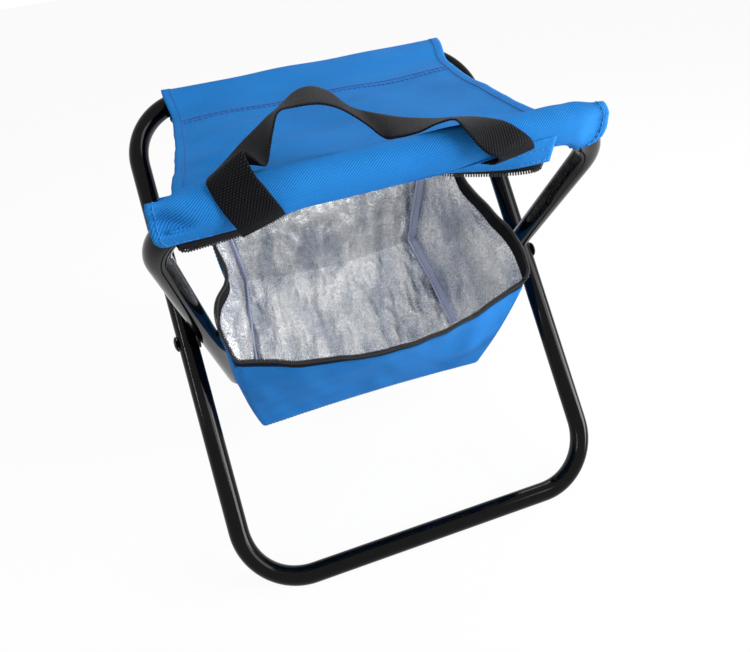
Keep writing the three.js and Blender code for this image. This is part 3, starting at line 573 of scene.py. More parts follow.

# Aluminised film on the foam: a soft, half-matt metal. Grains of 1.5 mm are pressed into it and
# glitter, creases of 5 mm break up its reflections, and dents of 30 mm bend it, with their grey and bright
# patches painted into its colour as shade and light.
silver_foil, place = new_material("aluminised_film")
grain = add_node(silver_foil, "TexVoronoi", {"Vector": place, "Scale": 1 / 0.0015})
crease = add_node(silver_foil, "TexNoise",
                  {"Vector": place, "Scale": 1 / 0.005, "Detail": 4.0, "Roughness": 0.7, "Distortion": 0.3})
drawn = add_node(silver_foil, "Mapping", {"Vector": place, "Scale": (1.6, 0.6, 0.6)})
dent = add_node(silver_foil, "TexNoise",
                {"Vector": drawn, "Scale": 1 / 0.03, "Detail": 2.0, "Roughness": 0.5})
# painted shade and light: the dents' grey and bright patches are painted into the film's colour
foil_painted_dent_shade = add_node(silver_foil, "ValToRGB", {"Fac": dent}, [(0.34, "#c4cad5"), (0.56, "#ffffff")])
foil_gloss = add_node(silver_foil, "ValToRGB", {"Fac": grain}, [(0.1, 0.17), (0.8, 0.32)])
relief = add_node(silver_foil, "Bump", {"Height": grain, "Strength": 0.9, "Distance": 0.0005})
for pattern, depth in ((crease, 0.003), (dent, 0.018)):
    relief = add_node(silver_foil, "Bump",
                      {"Height": pattern, "Strength": 0.9, "Distance": depth, "Normal": relief})
surface(silver_foil, Base_Color=foil_painted_dent_shade, Metallic=0.62, Roughness=foil_gloss, Normal=relief)

lid_margin = 19.0
lid_front_share, lid_rear_share = 0.14, stitch_share - 0.03


def lid_grid(depth, columns=70, rows=60):
    side_share = lid_margin / (2 * seat_half)
    grid = seat_point(np.linspace(side_share, 1 - side_share, columns)[None, :],
                      np.linspace(lid_front_share, lid_rear_share, rows)[:, None])
    return grid - normals_of(grid) * depth


def flat_of(grid):
    """Flat coordinates of a grid in metres: the distances along its middle column and middle row."""
    rows, columns = grid.shape[:2]
    down, over = distances(grid[:, columns // 2]), distances(grid[rows // 2])
    return np.stack(np.meshgrid(over * mm, down * mm), -1)


foam_grid, film_grid = lid_grid(3.25), lid_grid(5.6)
film_grid[..., 2] -= 0.9 * (1 - np.abs(waves(film_grid, 26, 21))) * 0.8
for name, node, slot, material, thickness, grid, above in (
        ("lid_foam_pad", "lid_foam", "insulating_foam", white_foam, 3.0, foam_grid, "seat_cloth"),
        ("lid_silver_lining", "lid_lining", "silver_foil", silver_foil, 0.5, film_grid, "lid_foam_pad")):
    lid_layer = piece(name, [sheet_part(grid, flat_of(grid), thickness)], [material])
    stands_for(lid_layer, slot, node)
    bends_with_seat(lid_layer)

# Front sleeve. A band of the same cloth, folded over the front bar and sewn shut behind it. It runs
# on past the start of the bends, where its lower ply follows the tube and its ends are hemmed.

bar_angles = np.linspace(0, 2 * math.pi, 73)
sleeve_steps = np.linspace(-1, 1, 133)
# the flap under the sleeve hangs at its ends and is tucked back under the bar in the middle
tuck_at = smooth_through([(0, 0), (0.15, 0.1), (0.4, 0.81), (0.6, 0.86), (0.78, 0.2), (0.9, -0.3), (1, -0.42)])
flap_left, flap_right, flap_end, front_ply = -121.0, 98.0, 0.966, 9.3
down = np.array([0, math.sin(lean), -math.cos(lean)])
out = np.array([0, -math.cos(lean), -math.sin(lean)])
straight = inner_half - bend_radius
# how far past the straight part of the bar the sleeve can follow the tube down
end_reach = 27.0


def sleeve_section(x, past):
    """How far the sleeve lies below the bar's axis and in front of it, beside the frame's plane."""
    # towards the left, the front ply leaves the bar and hangs straight down over the flap
    loose = 1 - soft_step(x, -15, 45)
    hang = tuck_at((x - flap_left) / (flap_right - flap_left)) * (math.pi / 2 - lean)
    leaves = math.pi / 2 - hang
    below = np.clip((leaves - bar_angles) / leaves, 0, 1) * front_ply
    over_flap = 2.1 * soft_step(leaves - bar_angles, -1.2, 0.15)
    turned = np.maximum(bar_angles, leaves)
    radius = 9.95 + 0.5 * soft_step(np.cos(bar_angles), 0, -1)
    # the lower ply follows the tube into its bends, and beyond the bar the two plies close on each other
    fall = (inside - np.sqrt(inside ** 2 - past ** 2)) * soft_step(np.cos(bar_angles), -0.75, 0.2)
    fall = fall * (1 - loose * soft_step(leaves - bar_angles, -0.9, 0))
    closing = 1 - 0.75 * soft_step(np.abs(x), 104, 124) * soft_step(-np.cos(bar_angles), -0.2, 0.5)
    hung_down = radius * np.cos(turned) + over_flap * np.cos(leaves) + below * np.sin(leaves)
    hung_forward = radius * np.sin(turned) + over_flap * np.sin(leaves)
    dropped = (1 - loose) * radius * np.cos(bar_angles) + loose * hung_down
    forward = (1 - loose) * radius * np.sin(bar_angles) + loose * hung_forward
    return fall + dropped, forward * closing - loose * below * np.cos(leaves)


# how far the ends run past the straight part of the bar, at their height over it: their corners are rounded
left_tab = smooth_through([(-18.5, 30), (-17, 36), (-12.9, 41.5), (-6.3, 43.2), (3.1, 42.6), (9, 41.3),
                           (12, 38.5), (13.5, 35)])
right_tab = smooth_through([(-17, 27), (-15.2, 32), (-11.7, 39.4), (-8.1, 41.8), (-2, 42.3), (6.1, 38.3),
                            (10.5, 32.5), (13, 23)])
ends = []
for side, tab in ((-1, left_tab), (1, right_tab)):
    dropped, forward = sleeve_section(side * 125.0, end_reach)
    ends.append(straight + tab(-math.cos(lean) * dropped - math.sin(lean) * forward + 1.0))
end = np.where(sleeve_steps[:, None] < 0, ends[0], ends[1])
x = sleeve_steps[:, None] * end
dropped, forward = sleeve_section(x, np.clip(np.abs(x) - straight, 0, end_reach))
sleeve = np.zeros(x.shape + (3,))
sleeve[..., 0] = x
sleeve[..., 1] = -bar_reach
sleeve[..., 2] = bar_height
sleeve += dropped[..., None] * down + forward[..., None] * out
# gathers over the bends, soft pulls along the bar, and the top held up a little by its fold
near_end = soft_step(np.abs(x), 70, 108)
pulls, gathers = waves(sleeve, 42, 31, (1, 0.4, 0.4)), waves(sleeve, 17, 32, (1, 0.5, 0.5))
bulge = 0.35 * pulls + 0.3 * near_end * gathers + 0.3
outside = np.sign((normals_of(sleeve) * (sleeve - [0, -bar_reach, bar_height])).sum(-1).mean())
sleeve += normals_of(sleeve) * outside * bulge[..., None]
sleeve[..., 2] += 1.0
from_end = end - np.abs(x)
thick = cloth_thickness * (1 + 0.8 * (1 - soft_step(from_end, 4.5, 5.5)))
flat = np.stack(np.broadcast_arrays(x * mm, (bar_angles * 10.2 * mm)[None, :]), -1)
parts = [sheet_part(sleeve, flat, thick)]
for row in (2.0, len(sleeve_steps) - 3.0):
    parts.append(seam_part(sleeve, row, np.linspace(1, 71, 90), 0.85 * outside))
parts.append(seam_part(sleeve, np.linspace(3, len(sleeve_steps) - 4, 300), 3.2, 0.45 * outside))
front_sleeve = piece("front_sleeve_cloth", parts, [blue_polyester, light_thread])
stands_for(front_sleeve, "blue_polyester", "front_sleeve")
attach(front_sleeve, "inner_frame")

# Front flap. A strip of cloth sewn under the front sleeve, which covers most of it. It hangs at its
# ends and is tucked back under the bar in the middle, where the loose zip pulls it.


def flap_point(u, distance):
    u, distance = np.broadcast_arrays(np.asarray(u, float), np.asarray(distance, float))
    hang = lean + tuck_at(u) * (math.pi / 2 - lean)
    return np.stack([flap_left + u * (flap_right - flap_left),
                     -bar_reach - sleeve_reach * np.cos(hang) + distance * np.sin(hang),
                     bar_height - sleeve_reach * np.sin(hang) - distance * np.cos(hang)], -1)


share = np.linspace(0, flap_end, 110)
flap_width = 11.4 + 2.8 * soft_step(share, 0.6, 0.9)
flap_rows = 12
grid = flap_point(share[None, :], np.linspace(flap_width, -3, flap_rows))
loose = np.linspace(1, 0, flap_rows)[:, None]
grid[..., 1] += 0.6 * waves(grid, 40, 41, (1, 0.2, 0.2)) * loose
parts = [sheet_part(grid, flat_of(grid), cloth_thickness)]
for row in (1.6, 6.5):
    parts.append(seam_part(grid, row, np.linspace(1, 108, 200), 0.45))
flap = piece("front_flap_cloth", parts, [blue_polyester, light_thread])
stands_for(flap, "blue_polyester", "front_flap")
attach(flap, "inner_frame")

# Bag shell. Five panels of the seat's polyester sewn into an open box, which hangs from the seat's
# rear seam. Unzipped, its front drops forwards and its sides sag between the zip's two ends.

floor_lean, front_lean = math.radians(38.6), math.radians(27.6)
floor_depth, front_height, floor_height = 154.0, 147.0, 52.0
room_half = inner_half - tube_radius
# half widths, from the gaps beside the bag's rim, the front and rear of its floor, and its hanging seam
rim_half, floor_half, rear_half, hang_half = (room_half - gap for gap in (9.4, 15.4, 30.4, 12.9))
floor_slide, zip_end_drop, tape_width = -5.5, 11.0, 11.0
rear_reach = floor_depth * math.cos(floor_lean)
rear_height = floor_height + floor_depth * math.sin(floor_lean)
# under the middle of the seat cloth: the cloth's lower half, a gap and the fold of the seam
fit_gap, seat_fold_height = 0.3, 1.4
hang_height = seam_height - cloth_thickness / 2 - fit_gap - seat_fold_height
back_height = math.hypot(stitch_reach - rear_reach, hang_height - rear_height)


def bag_corners(side):
    hang = np.array([side * hang_half, stitch_reach, hang_height])
    rear = np.array([side * rear_half + floor_slide, rear_reach, rear_height])
    return {"front": np.array([side * floor_half + floor_slide, 0, floor_height]),
            "rim": np.array([side * rim_half, -front_height * math.sin(front_lean),
                             floor_height + front_height * math.cos(front_lean)]),
            "rear": rear, "hang": hang, "zip_end": hang + (rear - hang) * zip_end_drop / back_height}


def bowed(start, finish, bow=(0, 0, 0)):
    return lambda s: (start + (finish - start) * np.asarray(s)[..., None]
                      + np.array(bow) * np.sin(math.pi * np.asarray(s))[..., None])


def patch(bottom, top, start, finish):
    """A surface between four seams. u runs along bottom and top, v along start and finish."""
    def at(u, v):
        u, v = np.broadcast_arrays(np.asarray(u, float), np.asarray(v, float))
        a, b = u[..., None], v[..., None]
        corner = [curve(np.array(place)) for curve, place in ((bottom, 0), (bottom, 1), (top, 0), (top, 1))]
        return (bottom(u) * (1 - b) + top(u) * b + start(v) * (1 - a) + finish(v) * a
                - corner[0] * (1 - a) * (1 - b) - corner[1] * a * (1 - b)
                - corner[2] * (1 - a) * b - corner[3] * a * b)
    return at


def side_rim(corners, side, rows):
    """The sagging rim of a side. Each row has three shares of the straight line between its ends: how far along
    it, how far below it, and how far inwards."""
    line = corners["rim"] - corners["zip_end"]
    reach = np.linalg.norm(line)
    below = np.cross([1, 0, 0], line)
    below = below / np.linalg.norm(below) * reach
    points = np.array([corners["zip_end"] + line * a + below * b + np.array([-side * reach, 0, 0]) * c
                       for a, b, c in rows])
    places = np.linspace(0, 1, len(rows))
    curves = [smooth_through(np.stack([places, points[:, i]], 1)) for i in range(3)]
    return lambda s: np.stack([curve(np.asarray(s)) for curve in curves], -1)


rim_rows = {
    -1: [(0, 0, 0), (0.2, 0.13, 0.01), (0.43, 0.2, 0.02), (0.61, 0.125, 0.036), (0.81, -0.04, -0.02),
         (1, 0, 0)],
    1: [(0, 0, 0), (0.2, 0.12, 0), (0.38, 0.18, -0.01), (0.6, 0.06, -0.01), (0.81, -0.04, -0.018),
        (0.96, -0.07, -0.01), (1, 0, 0)]}
corners = {side: bag_corners(side) for side in (-1, 1)}
left, right = corners[-1], corners[1]
zip_end_share = 1 - zip_end_drop / back_height
seams = {side: {"floor": bowed(at["rear"], at["front"], (side * 4, 0, -4)),
                "front": bowed(at["front"], at["rim"], (side * 4, 0, 0)),
                "back": bowed(at["rear"], at["hang"])} for side, at in corners.items()}
front_seam = bowed(left["front"], right["front"], (0, 0, 4))
rear_seam = bowed(left["rear"], right["rear"], (0, 0, -8))
front_rim = bowed(left["rim"], right["rim"], (0, -15, -18))
side_patches = {side: patch(seams[side]["floor"], side_rim(corners[side], side, rim_rows[side]),
                            lambda s, side=side: seams[side]["back"](np.asarray(s) * zip_end_share),
                            seams[side]["front"]) for side in (-1, 1)}
front_patch = patch(front_seam, front_rim, seams[-1]["front"], seams[1]["front"])
back_patch = patch(rear_seam, bowed(left["hang"], right["hang"]), seams[-1]["back"], seams[1]["back"])
floor_patch = patch(front_seam, rear_seam, lambda s: seams[-1]["floor"](1 - np.asarray(s)),
                    lambda s: seams[1]["floor"](1 - np.asarray(s)))

# one mesh for the whole box: cells across, deep and high, cells of zip tape, cells of back above the zip
cells_across, cells_deep, cells_high, cells_tape, cells_over = 84, 58, 52, 5, 5
tape_share = 1 - (tape_width + cloth_thickness) / front_height
across, deep = np.linspace(0, 1, cells_across + 1), np.linspace(0, 1, cells_deep + 1)
rise = np.concatenate([np.linspace(0, tape_share, cells_high + 1),
                       np.linspace(tape_share, 1, cells_tape + 1)[1:]])
back_rise = np.concatenate([rise * zip_end_share, np.linspace(zip_end_share, 1, cells_over + 1)[1:]])
# each panel's surface, its lines of points both ways, the side that is out, and its flat size in metres
panels = {"front": (front_patch, across, rise, 1, (0.225, 0.147)),
          "floor": (floor_patch, across, deep, -1, (0.21, 0.154)),
          "left": (side_patches[-1], deep, rise, 1, (0.154, 0.147)),
          "right": (side_patches[1], deep, rise, -1, (0.154, 0.147)),
          "back": (back_patch, across, back_rise, -1, (0.21, back_height * mm))}
ids, used = {}, 0
for name, (_, u, v, _, _) in panels.items():
    ids[name] = np.arange(used, used + len(u) * len(v)).reshape(len(u), len(v))
    used += len(u) * len(v)
# panels share the points of the seams between them
rows_high = len(rise)
ids["floor"][:, 0] = ids["front"][:, 0]
for name, column in (("left", 0), ("right", -1)):
    ids[name][-1, :] = ids["front"][column, :]
    ids[name][:, 0] = ids["floor"][column, ::-1]
    ids["back"][column, :rows_high] = ids[name][0, :]
ids["back"][:, 0] = ids["floor"][:, -1]
box = np.zeros((used, 3))
# how many cells each point is from the nearest seam
near_seam = np.full(used, 99.0)
quads, quad_uv, quad_panel, quad_rise = [], [], [], []
for number, (name, (shape, u, v, facing, size)) in enumerate(panels.items()):
    box[ids[name]] = shape(u[:, None], v[None, :])
    i, j = np.meshgrid(np.arange(len(u) - 1), np.arange(len(v) - 1), indexing="ij")
    corner = [(i, j), (i + 1, j), (i + 1, j + 1), (i, j + 1)][::facing]
    quads.append(np.stack([ids[name][a, b] for a, b in corner], -1).reshape(-1, 4))
    flat = [np.stack([u[a] * size[0], v[b] * size[1]], -1) for a, b in corner]
    quad_uv.append(np.stack(flat, -2).reshape(-1, 4, 2))
    quad_panel += [number] * i.size
    quad_rise += j.ravel().tolist()
    i, j = np.meshgrid(np.arange(len(u)), np.arange(len(v)), indexing="ij")
    # the walls end in an open rim, and only the floor has a seam at its far end too
    from_seam = np.minimum(j, len(v) - 1 - j) if name == "floor" else j
    edge_cells = np.minimum(np.minimum(i, len(u) - 1 - i), from_seam)
    np.minimum.at(near_seam, ids[name].ravel(), edge_cells.ravel().astype(float))
quads, quad_uv = np.concatenate(quads), np.concatenate(quad_uv)
quad_panel, quad_rise = np.array(quad_panel), np.array(quad_rise)
is_front, is_floor, is_back = (quad_panel == list(panels).index(name) for name in ("front", "floor", "back"))


def edge_pairs(faces):
    return np.concatenate([faces[:, [k, (k + 1) % 4]] for k in range(4)])


def border_of(faces):
    pairs = edge_pairs(faces)
    keys = {(a, b) for a, b in pairs.tolist()}
    return np.array([(a, b) for a, b in keys if (b, a) not in keys])


def relaxed(points, faces, weight, rounds):
    """Evens out points towards their neighbours. Points on an open edge only follow that edge."""
    border = border_of(faces)
    on_border = np.zeros(len(points), bool)
    on_border[border.ravel()] = True
    pairs = edge_pairs(faces)
    pairs = pairs[~on_border[pairs[:, 0]]]
    pairs = np.concatenate([pairs, border, border[:, ::-1]])
    count = np.bincount(pairs[:, 0], minlength=len(points))[:, None].clip(1)
    for _ in range(rounds):
        total = np.zeros_like(points)
        np.add.at(total, pairs[:, 0], points[pairs[:, 1]])
        moved = np.where(count > 1, total / count, points)
        points = points + (moved - points) * 0.5 * weight[:, None]
    return points


def point_normals(points, faces):
    cross = np.cross(points[faces[:, 2]] - points[faces[:, 0]], points[faces[:, 3]] - points[faces[:, 1]])
    total = np.zeros_like(points)
    for k in range(4):
        np.add.at(total, faces[:, k], cross)
    return unit(total)


box = relaxed(box, quads, np.exp(-(near_seam / 2.2) ** 2), 7)
box_normal = point_normals(box, quads)
# dents in the hanging cloth: broad ones over each panel, short ones by the seams
by_seam = np.exp(-(near_seam / 5) ** 2)
broad, short, shortest = waves(box, 85, 51), waves(box, 32, 52), waves(box, 15, 53)
dent = 1.8 * broad + 0.8 * short * (1 - 0.4 * by_seam) + 0.45 * shortest * by_seam
box = box + box_normal * (dent * soft_step(near_seam, 0, 6))[:, None] - box_normal * 0.6
box_normal = point_normals(box, quads)


def layer_part(keep, near, far, crumple=None, rounds=0):
    """A closed layer of the box between two depths in mm below its outside. keep picks the box's cells, crumple
    pushes its points inwards, and rounds is how often the layer is evened out."""
    faces = quads[keep]
    outer, inner = box - box_normal * near, box - box_normal * far
    if crumple is not None:
        inner = inner - box_normal * crumple[:, None]
        outer = outer - box_normal * crumple[:, None] * 0.9
    if rounds:
        weight = np.exp(-(near_seam / 2.5) ** 2)
        outer, inner = (relaxed(side, faces, weight, rounds) for side in (outer, inner))
    border = border_of(faces)
    size = len(box)
    rim = np.stack([border[:, 1], border[:, 0], border[:, 0] + size, border[:, 1] + size], 1)
    kept, places = np.unique(np.concatenate([faces, faces[:, ::-1] + size, rim]), return_inverse=True)
    uv = quad_uv[keep]
    flat_at = np.zeros((size, 2))
    flat_at[faces.ravel()] = uv.reshape(-1, 2)
    return {"points": np.concatenate([outer, inner])[kept], "faces": places.reshape(-1, 4).tolist(),
            "corner_uv": np.concatenate([uv, uv[:, ::-1], flat_at[rim % size]]).reshape(-1, 2)}


# in front the shell covers two rows of cells of the zip's tape
shell_over = 2
cloth_cells = is_back | is_floor | (quad_rise < cells_high + shell_over * is_front)
parts = [layer_part(cloth_cells, 0, cloth_thickness)]
# stitches along the three open rims, and inside the front's other three edges
for seam in (ids["left"][1:-1, cells_high - 1], ids["front"][1:-1, cells_high + shell_over - 1],
             ids["right"][1:-1, cells_high - 1], ids["front"][1:-1, 1],
             ids["front"][1, 1:cells_high], ids["front"][-2, 1:cells_high]):
    parts.append(stitch_part(box[seam], box_normal[seam]))
bag_shell = piece("bag_shell", parts, [blue_polyester, dark_thread_with_painted_shade])
panel_names = ("front", "back", "left", "right", "floor")
stands_for(bag_shell, "blue_polyester", *[f"bag_{name}_shell" for name in panel_names])


def folds_with_bag(made):
    """The piece hangs on the outer loop, with a mesh of its own."""
    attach(made, "outer_frame")
    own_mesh(made)


folds_with_bag(bag_shell)

# Bag foam. Sheets of 3 mm white polyethylene foam, one cut for each panel and laid between the shell
# and the lining. They keep the bag cool and in shape, and end below its rim.

in_back = is_back & (quad_rise < len(back_rise) - 2)
foam_cells = in_back | is_floor | (~is_back & (quad_rise < cells_high - 3))
bag_foam = piece("bag_foam_sheets", [layer_part(foam_cells, 1.5, 4.5)], [white_foam])
stands_for(bag_foam, "insulating_foam", *[f"bag_{name}_foam" for name in panel_names])
folds_with_bag(bag_foam)

# Bag lining. Silver film, the same as on the lid, lies over the foam. It is sewn in at the seams and
# the rim, and slack and crumpled in between.

lining_cells = in_back | is_floor | (~is_back & (quad_rise < cells_high))
lining_thickness = 0.5
sharp = 1 - np.abs(waves(box, 34, 61, (1.3, 0.5, 0.5))) * 1.1
fine = 1 - np.abs(waves(box, 13, 62, (1.2, 0.7, 0.7))) * 1.1
# it lies below the foam, and rises over the foam's edge to the zip's tape
lining_below, lining_rise = 5.1, 3.1
lining_depth = np.full((used, 1), lining_below)
for name in ("left", "front", "right"):
    rows = np.arange(rows_high)[None, :] * np.ones((len(ids[name]), 1))
    risen = soft_step(rows, cells_high - 3.5, cells_high - 0.5)
    lining_depth[ids[name], 0] = lining_below - lining_rise * risen
slack = (3.0 * sharp.clip(-0.5) + 1.5 * fine.clip(-0.5)) * soft_step(near_seam, 0, 7)
crumpled = slack * (lining_depth[:, 0] - 2) / lining_rise
film = layer_part(lining_cells, lining_depth, lining_depth + lining_thickness, crumpled.clip(0), rounds=3)
bag_film = piece("bag_silver_lining", [film], [silver_foil])
stands_for(bag_film, "silver_foil", *[f"bag_{name}_lining" for name in panel_names])
folds_with_bag(bag_film)

# Bindings. Grey-blue tape is folded over the raw edges of the inside seams and sewn through, and
# the bound edges stand up from the corners.

# Polyester binding tape: fine cross ribs 0.9 mm apart, dull.
grey_binding = woven("grey_blue_binding_tape", ("#b3bcdc", "#c4cdea", "#dae0f6"), 0.0009, 0, 0.0001)
grey_thread = grained("grey_spun_thread", thread_ply, "#454d63", "#6a7288", thread_roughness)


def strap_part(edge_a, edge_b, thickness, cells, rounding=0.35):
    """A tape between two edges, thinner towards both of them, with the grid that it is made on."""
    shares = np.linspace(0, 1, cells + 1)
    grid = edge_a[:, None] + (edge_b - edge_a)[:, None] * shares[None, :, None]
    over = np.linalg.norm(edge_b - edge_a, axis=1).mean() * shares
    flat = np.stack(np.meshgrid(over * mm, distances(grid[:, cells // 2]) * mm), -1)
    body = np.sqrt(1 - (1 - rounding) * np.abs(2 * shares - 1) ** 6)
    return sheet_part(grid, flat, thickness * body), grid


binding_thickness = 1.7
binding_walls = (("back", (0, -1, 0)), ("floor", (0, -math.sin(floor_lean), math.cos(floor_lean))))
# for each side: how far the foot stands off the wall and off the side, the tape's width, and how much
# it leans to the middle and over the wall
for side_name, side, off_wall, off_side, width, to_middle, over_wall in (
        ("left", -1, 6.5, 6.0, 7.5, 0.5, 0.85), ("right", 1, 9.5, 6.5, 9.0, 1.0, 0.2)):
    middleward = np.array([-side, 0, 0])
    for wall, inward in binding_walls:
        inward = np.array(inward)
        across_way = middleward * to_middle + inward * over_wall
        share = np.linspace(0.03, 0.97, 60)
        foot = seams[side][wall](share) + inward * off_wall + middleward * off_side
        lean_over = 0.9 * np.sin(share * 21 + side)[:, None] * inward
        strip, grid = strap_part(foot - across_way, foot + across_way * (width - 1) + lean_over,
                                 binding_thickness, cells=10, rounding=0.75)
        places = np.linspace(1, 58, 120)
        parts = [strip, seam_part(grid, places, 8.0, 0.85), seam_part(grid, places, 8.0, -0.85)]
        bound = piece(f"{side_name}_{wall}_seam_binding", parts, [grey_binding, grey_thread])
        stands_for(bound, "grey_binding", f"{side_name}_{wall}_binding")
        folds_with_bag(bound)

# Lower half of the zip. A woven tape stands on the bag's three open rims, sewn inside the shell, and
# a nylon coil is stitched along its free edge.

# Woven zip tape: black polyester with fine herringbone lines 0.8 mm apart.
zip_tape = woven("black_woven_zip_tape", ("#050506", "#0c0c0e", "#1c1c20"), 0.0008, 35, 0.0001, sheen=0.02)
# Nylon monofilament: black, smooth, with a glint on the crown of each turn.
zip_nylon = grained("black_nylon_monofilament", 0.004, "#0d0d0f", "#212126", roughness=0.35)

tape_thickness = 0.8
# the coil's pitch, half height, half width and distance from the tape's edge, and its wire's radius
coil_pitch, coil_high, coil_wide, coil_lift, wire_radius = 1.5, 0.9, 1.3, 0.9, 0.5


def coil_part(path, away):
    """A coil of nylon along a path in mm, standing a little off the tape's edge on its away side."""
    length = path_length(path)
    spots = np.linspace(0.5, length - 0.5, int(length / coil_pitch) * 9)
    angle = spots / coil_pitch * 2 * math.pi
    centre = walk(path, path, spots)
    outward = unit(walk(path, away, spots))
    side = unit(np.cross(np.gradient(centre, axis=0), outward))
    radial = outward * np.cos(angle)[:, None] + side * np.sin(angle)[:, None]
    wound = (centre + outward * (coil_lift + coil_high * np.cos(angle))[:, None]
             + side * (coil_wide * np.sin(angle))[:, None])
    heading = unit(np.gradient(wound, axis=0))
    other = unit(np.cross(heading, radial))
    first = np.cross(other, heading)
    turn = around(5)
    wire = first[:, None] * np.cos(turn)[None, :, None] + other[:, None] * np.sin(turn)[None, :, None]
    return ring_part(wound[:, None] + wire_radius * wire)


def zip_half(half, free_edge, sewn_edge, beyond, cells, follow):
    """One half of the zip: the tape between two edges, by a share beyond the free one, and the coil on it.
    follow says how both move."""
    strip, _ = strap_part(free_edge + (free_edge - sewn_edge) * beyond, sewn_edge, tape_thickness, cells)
    tape = piece(f"{half}_zip_tape_cloth", [strip], [zip_tape])
    coil = piece(f"{half}_zip_nylon_coil", [coil_part(free_edge, free_edge - sewn_edge)], [zip_nylon])
    for made, kind in ((tape, "tape"), (coil, "coil")):
        stands_for(made, "black_webbing", f"{half}_zip_{kind}")
        follow(made)


def along_rim(row):
    """The box's points along the left, front and right rims, in one row, 1.3 mm inside the shell."""
    along = np.concatenate([ids["left"][:, row], ids["front"][1:, row], ids["right"][::-1, row][1:]])
    return box[along] - box_normal[along] * 1.3


zip_half("lower", along_rim(-1), along_rim(cells_high - 1), beyond=0.09, cells=6, follow=folds_with_bag)

# Upper half of the zip. Its tape is sewn under the sides of the seat and to the front flap.

upper_reach = hang_half - tape_width / 3
upper_front_share, upper_rear_share, zip_seam = 0.2, stitch_share - 0.06, 11.6


def upper_side(side, depth):
    share = np.linspace(upper_rear_share, upper_front_share, 40)
    edge = seat_point((1 + side * upper_reach / seat_half) / 2, share)
    edge[:, 2] -= depth + 1.75
    return edge


def upper_edge(depth, behind):
    share = -0.03 + (flap_end + 0.045) * np.linspace(0, 1, 60)
    drop = zip_seam + 1.0 * soft_step(share, 0.7, 0.95) + 3.2 * (1 - soft_step(share, 0.1, 0.35))
    front = flap_point(share, drop + depth)
    front[:, 1] += behind
    return np.concatenate([upper_side(-1, depth), front, upper_side(1, depth)[::-1]])


def evened(path, rounds):
    for _ in range(rounds):
        path = np.concatenate([path[:1], (path[:-2] + 2 * path[1:-1] + path[2:]) / 4, path[-1:]])
    return path


sewn_edge, free_edge = evened(upper_edge(-1.6, 1.3), 4), evened(upper_edge(6, 1.1), 4)
# the free edge waves a little
free_edge[:, 1] += 0.6 * np.sin(np.linspace(0, 60, len(free_edge)))
zip_half("upper", free_edge, sewn_edge, beyond=0, cells=5, follow=bends_with_seat)

# Zip slider. A pressed steel slider with two plates joined at the nose, flanges that guide the coils,
# and two lugs below that hold the pin of the pull.


def plate_part(outline, low, high, bevel=0.25):
    """A plate with an outline in x and y and bevelled edges, between two heights."""
    outline = np.array(outline, float)
    centre = outline.mean(0)
    inset = centre + (outline - centre) * (1 - bevel / np.abs(outline - centre).max())
    levels = [(low, inset), (low + bevel, outline), (high - bevel, outline), (high, inset)]
    return ring_part([np.column_stack([shape, np.full(len(shape), z)]) for z, shape in levels])


def moved(parts, way):
    return [{**part, "points": part["points"] + way} for part in parts]


slider_at = right["zip_end"] + np.array([6.4, -5.0, -2.2])
pin_drop = 2.4
nose = [(-2.4, -5), (2.4, -5), (3.6, -1), (4, 2.5), (3.4, 4.4), (2.2, 5), (-2.2, 5), (-3.4, 4.4), (-4, 2.5),
        (-3.6, -1)]
wedge = [(-0.8, -4.6), (0.8, -4.6), (1.2, -2), (0, 0.6), (-1.2, -2)]
parts = [plate_part(nose, 0, 1.0), plate_part(nose, 3.4, 4.4), plate_part(wedge, 0.8, 3.6, 0.1)]
for side in (-1, 1):
    flange = [(side * x, y) for x, y in ((3.2, 2.5), (4.0, 2.5), (4.0, 0.5), (3.7, -1), (2.9, -1), (3.2, 0.5))]
    parts += [plate_part(flange, 0.5, 1.7, 0.12), plate_part(flange, 2.7, 3.9, 0.12)]
    lug = [(side * 3.3 + dx, dy) for dx, dy in ((-0.5, -2), (0.5, -2), (0.5, 2), (-0.5, 2))]
    parts.append(plate_part(lug, -4.2, 0.6, 0.2))
pin = [(0.5, -4.0), (0.8, -3.8), (0.8, 3.8), (0.5, 4.0)]
parts.append(ring_part(turned_rings(pin, 20, -pin_drop)))
slider = piece("zip_slider_body", moved(parts, slider_at), [black_zinc])
stands_for(slider, "black_fittings", "zip_slider")
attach(slider, "outer_frame")

# Zip pull. A flat tab of the same plated steel, with an eye rolled round the slider's pin. Its edges
# are rounded, and it is pressed thinner in the grip.

pin_at = slider_at - [0, 0, pin_drop]
eye = [(1.1, -2.3), (1.3, -2.5), (1.9, -2.5), (2.1, -2.3), (2.1, 2.3), (1.9, 2.5), (1.3, 2.5), (1.1, 2.3)]
# half the tab's width and half its thickness, at distances below the pin
tab = smooth_through([(1.5, 2.45), (4, 2.3), (8, 2.1), (16, 2.4), (22, 2.5), (24.5, 2.1), (25.6, 1.2),
                      (26, 0.3)])
thin = smooth_through([(1.5, 0.7), (6, 0.7), (9, 0.45), (20, 0.45), (23, 0.7), (25.6, 0.55), (26, 0.3)])
ring = around(24)
rings = [np.stack([tab(d) * np.sign(np.cos(ring)) * np.abs(np.cos(ring)) ** 0.35,
                   thin(d) * np.sign(np.sin(ring)) * np.abs(np.sin(ring)) ** 0.5, np.full(24, -d)], 1)
         for d in np.linspace(1.6, 26, 60)]
parts = [ring_part(turned_rings(eye, 32), closes=True), ring_part(rings)]
pull = piece("zip_pull_tab", moved(parts, pin_at), [black_zinc])
stands_for(pull, "black_fittings", "zip_pull")
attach(pull, "zip_pull")

# Carry handle. A strap of 25 mm webbing, sewn by both ends under the front sleeve. It climbs over the
# sleeve, turns on edge, arches back over the seat and comes down again.

# Woven polypropylene webbing: coarse diagonal ribs 1.4 mm apart, a faint gloss, and the tops of the ribs
# painted lighter as a highlight.
black_webbing = woven("black_polypropylene_webbing", ("#020203", "#060608", "#26272d"), 0.0014, 42, 0.00035,
                      roughness=0.6, cross=0.8, over=0.9)
